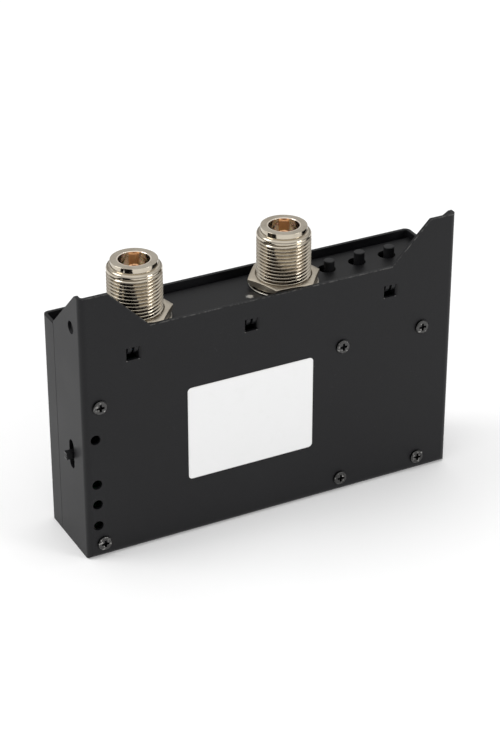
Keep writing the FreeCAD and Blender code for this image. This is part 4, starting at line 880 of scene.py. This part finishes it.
@dataclass(frozen=True)
class Case:
    """The two covers, the recessed plate, the label and all that fastens them.

    Two small tongues are drawn in at the top of each tab window. A tongue's span is given along X
    from the middle of its window.
    """

    coat: PowderCoat = field(default_factory=PowderCoat)
    label: Vinyl = field(default_factory=Vinyl)
    tongue_spans: tuple[Point, ...] = ((0.1, 1.35), (-1.87, -0.65))
    tongue_top: float = 65.29
    tongue_drop: float = 2.5
    tongue_reach: float = 1.4
    tongue_sheet: float = 0.7
    tongue_inset: float = 0.02
    tongue_steps: int = 10

    def _tongue(self, x: float, outer: float, inner: float) -> list[tuple[float, float, float]]:
        """Returns the outline of a tongue where it is cut at x.

        Args:
            x: The place of the cut, in millimetres.
            outer: The depth in the sheet at which the outline runs down, from 0 to 1.
            inner: The depth in the sheet at which it runs up again.
        """
        downwards = [i / self.tongue_steps for i in range(self.tongue_steps + 1)]
        path = [(along, outer) for along in downwards] + [(along, inner) for along in reversed(downwards)]
        outline = []
        for along, depth in path:
            inward = self.tongue_inset + self.tongue_reach * along ** 2 + self.tongue_sheet * depth
            outline.append((x, self.coat.face - inward, self.tongue_top - self.tongue_drop * along))
        outline.append(outline[0])
        return outline

    def _tongues(self, dresser: Dresser) -> None:
        """Makes all the tongues as one piece. Each is closed at both ends along its middle line."""
        whole = bmesh.new()
        for middle in self.coat.windows:
            for low, high in self.tongue_spans:
                ends = ((low, 0.5, 0.5), (low, 0.0, 1.0), (high, 0.0, 1.0), (high, 0.5, 0.5))
                wrap([self._tongue(middle + along, outer, inner) for along, outer, inner in ends], whole)
        dresser.add("window_tongues", whole, PowderCoat("tongue_coat"), "case", "case_sheet")

    def build(self, dresser: Dresser) -> None:
        """Dresses the case and adds the tongues."""
        self._tongues(dresser)
        dresser.dress(self.coat, "rear_cover", "front_cover")
        # The top plate gets a darker copy of the case's coat: painted shade for the recessed plate.
        darker = PowderCoat("plate_coat_painted_shade", (0.0024, 0.0024, 0.0028), (0.0095, 0.0095, 0.0108))
        dresser.dress(darker, "top_plate")
        dresser.dress(self.label, "blank_label")
        dresser.dress(BlackNickel(), "rear_screws")
        zinc = PlatedMetal("bright_zinc", (0.62, 0.62, 0.62), (0.42, 0.41, 0.38), roughness=0.26)
        dresser.dress(zinc, "board_screws")
        brass = PlatedMetal("plated_brass", (0.66, 0.63, 0.56), (0.5, 0.42, 0.3), 0.25, Lay.DRAWN)
        dresser.dress(brass, "front_standoffs", "corner_standoffs", "middle_standoffs")


@dataclass(frozen=True)
class Controls:
    """The three push buttons with their switches, and the power switch."""

    button: Moulding = Moulding("button_plastic", (0.006, 0.006, 0.0068), roughness=0.46, grain=0.12,
                                depth=0.005, edge=0.12, shine=0.28)
    switch: Moulding = Moulding("switch_plastic", (0.01, 0.01, 0.011), roughness=0.5)
    lever: Moulding = Moulding("lever_plastic", (0.003, 0.003, 0.0035), roughness=0.3, grain=0.12,
                               depth=0.004, edge=0.12)
    frame: PlatedMetal = PlatedMetal("switch_frame_steel", (0.6, 0.6, 0.58), (0.4, 0.38, 0.34),
                                     roughness=0.3, lay=Lay.DRAWN)

    def build(self, dresser: Dresser) -> None:
        """Dresses the controls."""
        sides = ("left", "centre", "right")
        dresser.dress(self.button, *(side + "_button" for side in sides))
        dresser.dress(self.switch, *(side + "_button_switch" for side in sides), "power_switch_body")
        dresser.dress(self.lever, "power_switch_lever")
        dresser.dress(self.frame, "power_switch_frame")


@dataclass(frozen=True)
class Electronics:
    """The board, what is soldered or plugged to it, the display and the battery."""

    board: Laminate = field(default_factory=Laminate)
    glass: CoverGlass = field(default_factory=CoverGlass)

    def build(self, dresser: Dresser) -> None:
        """Dresses the inner pieces."""
        dresser.dress(self.board, "main_board")
        dresser.dress(self.glass, "touch_panel")
        tin = PlatedMetal("bright_tin", (0.68, 0.68, 0.67), (0.48, 0.46, 0.42), 0.28, Lay.DRAWN)
        dresser.dress(tin, "shield_can_1", "shield_can_2", "usb_socket", "display_module")
        ivory = Moulding("ivory_plastic", (0.7, 0.67, 0.58), roughness=0.45)
        dresser.dress(ivory, "display_connector", "battery_plug", "battery_header")
        chip = Moulding("chip_plastic", (0.018, 0.018, 0.019), roughness=0.55, grain=0.2, depth=0.012)
        dresser.dress(chip, "processor")
        lens = Moulding("light_lens", (0.62, 0.6, 0.5), roughness=0.15, glow=0.3)
        dresser.dress(lens, "indicator_lights")
        insulation = Moulding("red_insulation", (0.42, 0.02, 0.018), roughness=0.4)
        dresser.dress(insulation, "battery_leads")
        dresser.dress(Foam(), "display_gasket")
        dresser.dress(Foam("tape_foam", (0.03, 0.03, 0.031), cell=0.2), "battery_tape")
        dresser.dress(Foil(), "battery")
        dresser.dress(RibbonFilm(), "display_ribbon")


@dataclass(frozen=True)
class Lamp:
    """One soft area lamp."""

    name: str
    place: tuple[float, float, float]
    width: float
    power: float
    colour: Colour = (1.0, 1.0, 1.0)

    def build(self, target: Vector) -> None:
        """Hangs the lamp and points it at the target."""
        data = bpy.data.lights.new(self.name, "AREA")
        data.shape = "SQUARE"
        data.size = self.width
        data.energy = self.power
        data.color = self.colour
        lamp = bpy.data.objects.new(self.name, data)
        lamp.location = self.place
        lamp.rotation_euler = (target - Vector(self.place)).to_track_quat("-Z", "Y").to_euler()
        bpy.context.scene.collection.objects.link(lamp)


@dataclass(frozen=True)
class Studio:
    """The pale floor, the lamps, the world and the camera.

    The camera stands round the object by the azimuth and up by the elevation, both in degrees. Its
    distance, target, lens and sensor are in millimetres, and all else is in metres.
    """

    azimuth: float = 152.559
    elevation: float = 29.226
    distance: float = 660.93
    target: tuple[float, float, float] = (0.834, 0.0, 38.913)
    lens: float = 108.653
    sensor: float = 36.0
    nearest: float = 0.01
    floor_size: float = 6.0
    floor_level: float = -0.0001
    floor_colour: Colour = (0.86, 0.86, 0.86)
    floor_glow: float = 0.13
    sky: Point = (0.25, 1.25)
    lamps: tuple[Lamp, ...] = (
        Lamp("key", (0.9, -0.4, 0.9), width=0.6, power=4.0),
        Lamp("fill", (-0.78, 0.98, 0.42), width=0.42, power=4.7),
    )
    lit_spot: tuple[float, float, float] = (0.0, 0.0, 0.04)

    def _camera(self) -> None:
        """Puts the camera where the photograph was taken from."""
        azimuth = math.radians(self.azimuth)
        elevation = math.radians(self.elevation)
        back = Vector((math.sin(azimuth) * math.cos(elevation), -math.cos(azimuth) * math.cos(elevation),
                       math.sin(elevation)))
        data = bpy.data.cameras.new("photo_camera")
        data.sensor_fit = "VERTICAL"
        data.sensor_height = self.sensor
        data.lens = self.lens
        data.clip_start = self.nearest
        camera = bpy.data.objects.new("photo_camera", data)
        camera.location = (Vector(self.target) + back * self.distance) * MM
        camera.rotation_euler = (-back).to_track_quat("-Z", "Y").to_euler()
        bpy.context.scene.collection.objects.link(camera)
        bpy.context.scene.camera = camera

    def _floor(self) -> None:
        """Lays a pale floor that keeps the object's shadow."""
        mesh = bmesh.new()
        bmesh.ops.create_grid(mesh, x_segments=1, y_segments=1, size=self.floor_size / 2)
        data = bpy.data.meshes.new("floor")
        mesh.to_mesh(data)
        mesh.free()
        floor = bpy.data.objects.new("floor", data)
        floor.location = (0.0, 0.0, self.floor_level)
        bpy.context.scene.collection.objects.link(floor)
        graph = Graph("floor_paper")
        paths = graph.tree.nodes.new("ShaderNodeLightPath")
        kinds = ("Is Camera Ray", "Is Glossy Ray", "Is Transmission Ray")
        direct, mirrored, through = (Wire(graph, paths.outputs[kind]) for kind in kinds)
        seen = direct + mirrored + through
        tooth = graph.noise(40.0, 3.0)
        colour = graph.blend(tooth, self.floor_colour, tuple(part * 1.01 for part in self.floor_colour))
        glow = graph.blend(seen, (0.0, 0.0, 0.0), (self.floor_glow,) * 3)
        data.materials.append(graph.finish(Base_Color=colour, Roughness=0.9, Specular_IOR_Level=0.1,
                                           Emission_Color=glow, Emission_Strength=1.0))

    def _world(self) -> None:
        """Makes a grey horizon that brightens towards the zenith."""
        world = bpy.data.worlds.new("studio_world")
        world.use_nodes = True
        bpy.context.scene.world = world
        tree = world.node_tree
        light = tree.nodes["Background"]
        place = tree.nodes.new("ShaderNodeTexCoord")
        split = tree.nodes.new("ShaderNodeSeparateXYZ")
        ramp = tree.nodes.new("ShaderNodeValToRGB")
        for element, height, level in zip(ramp.color_ramp.elements, (0.0, 1.0), self.sky):
            element.position = height
            element.color = (level, level, level, 1.0)
        tree.links.new(place.outputs["Generated"], split.inputs[0])
        tree.links.new(split.outputs["Z"], ramp.inputs["Fac"])
        tree.links.new(ramp.outputs["Color"], light.inputs["Color"])

    def build(self) -> None:
        """Sets up the studio."""
        for lamp in self.lamps:
            lamp.build(Vector(self.lit_spot))
        self._world()
        self._floor()
        self._camera()
        bpy.context.scene.view_settings.view_transform = "Standard"
        log.info("studio ready")


def main() -> None:
    """Builds the studio and dresses every sub-assembly."""
    logging.basicConfig(level=logging.INFO, format="%(name)s: %(message)s")
    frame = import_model()
    Studio().build()
    dresser = Dresser(frame["nodes"])
    Case().build(dresser)
    CoaxialSocket(1, centre=(36.0, -2.0), nut_turn=49.0).build(dresser)
    CoaxialSocket(2, centre=(-11.1, -2.0), nut_turn=51.0).build(dresser)
    Controls().build(dresser)
    Electronics().build(dresser)


if __name__ == "__main__":
    main()
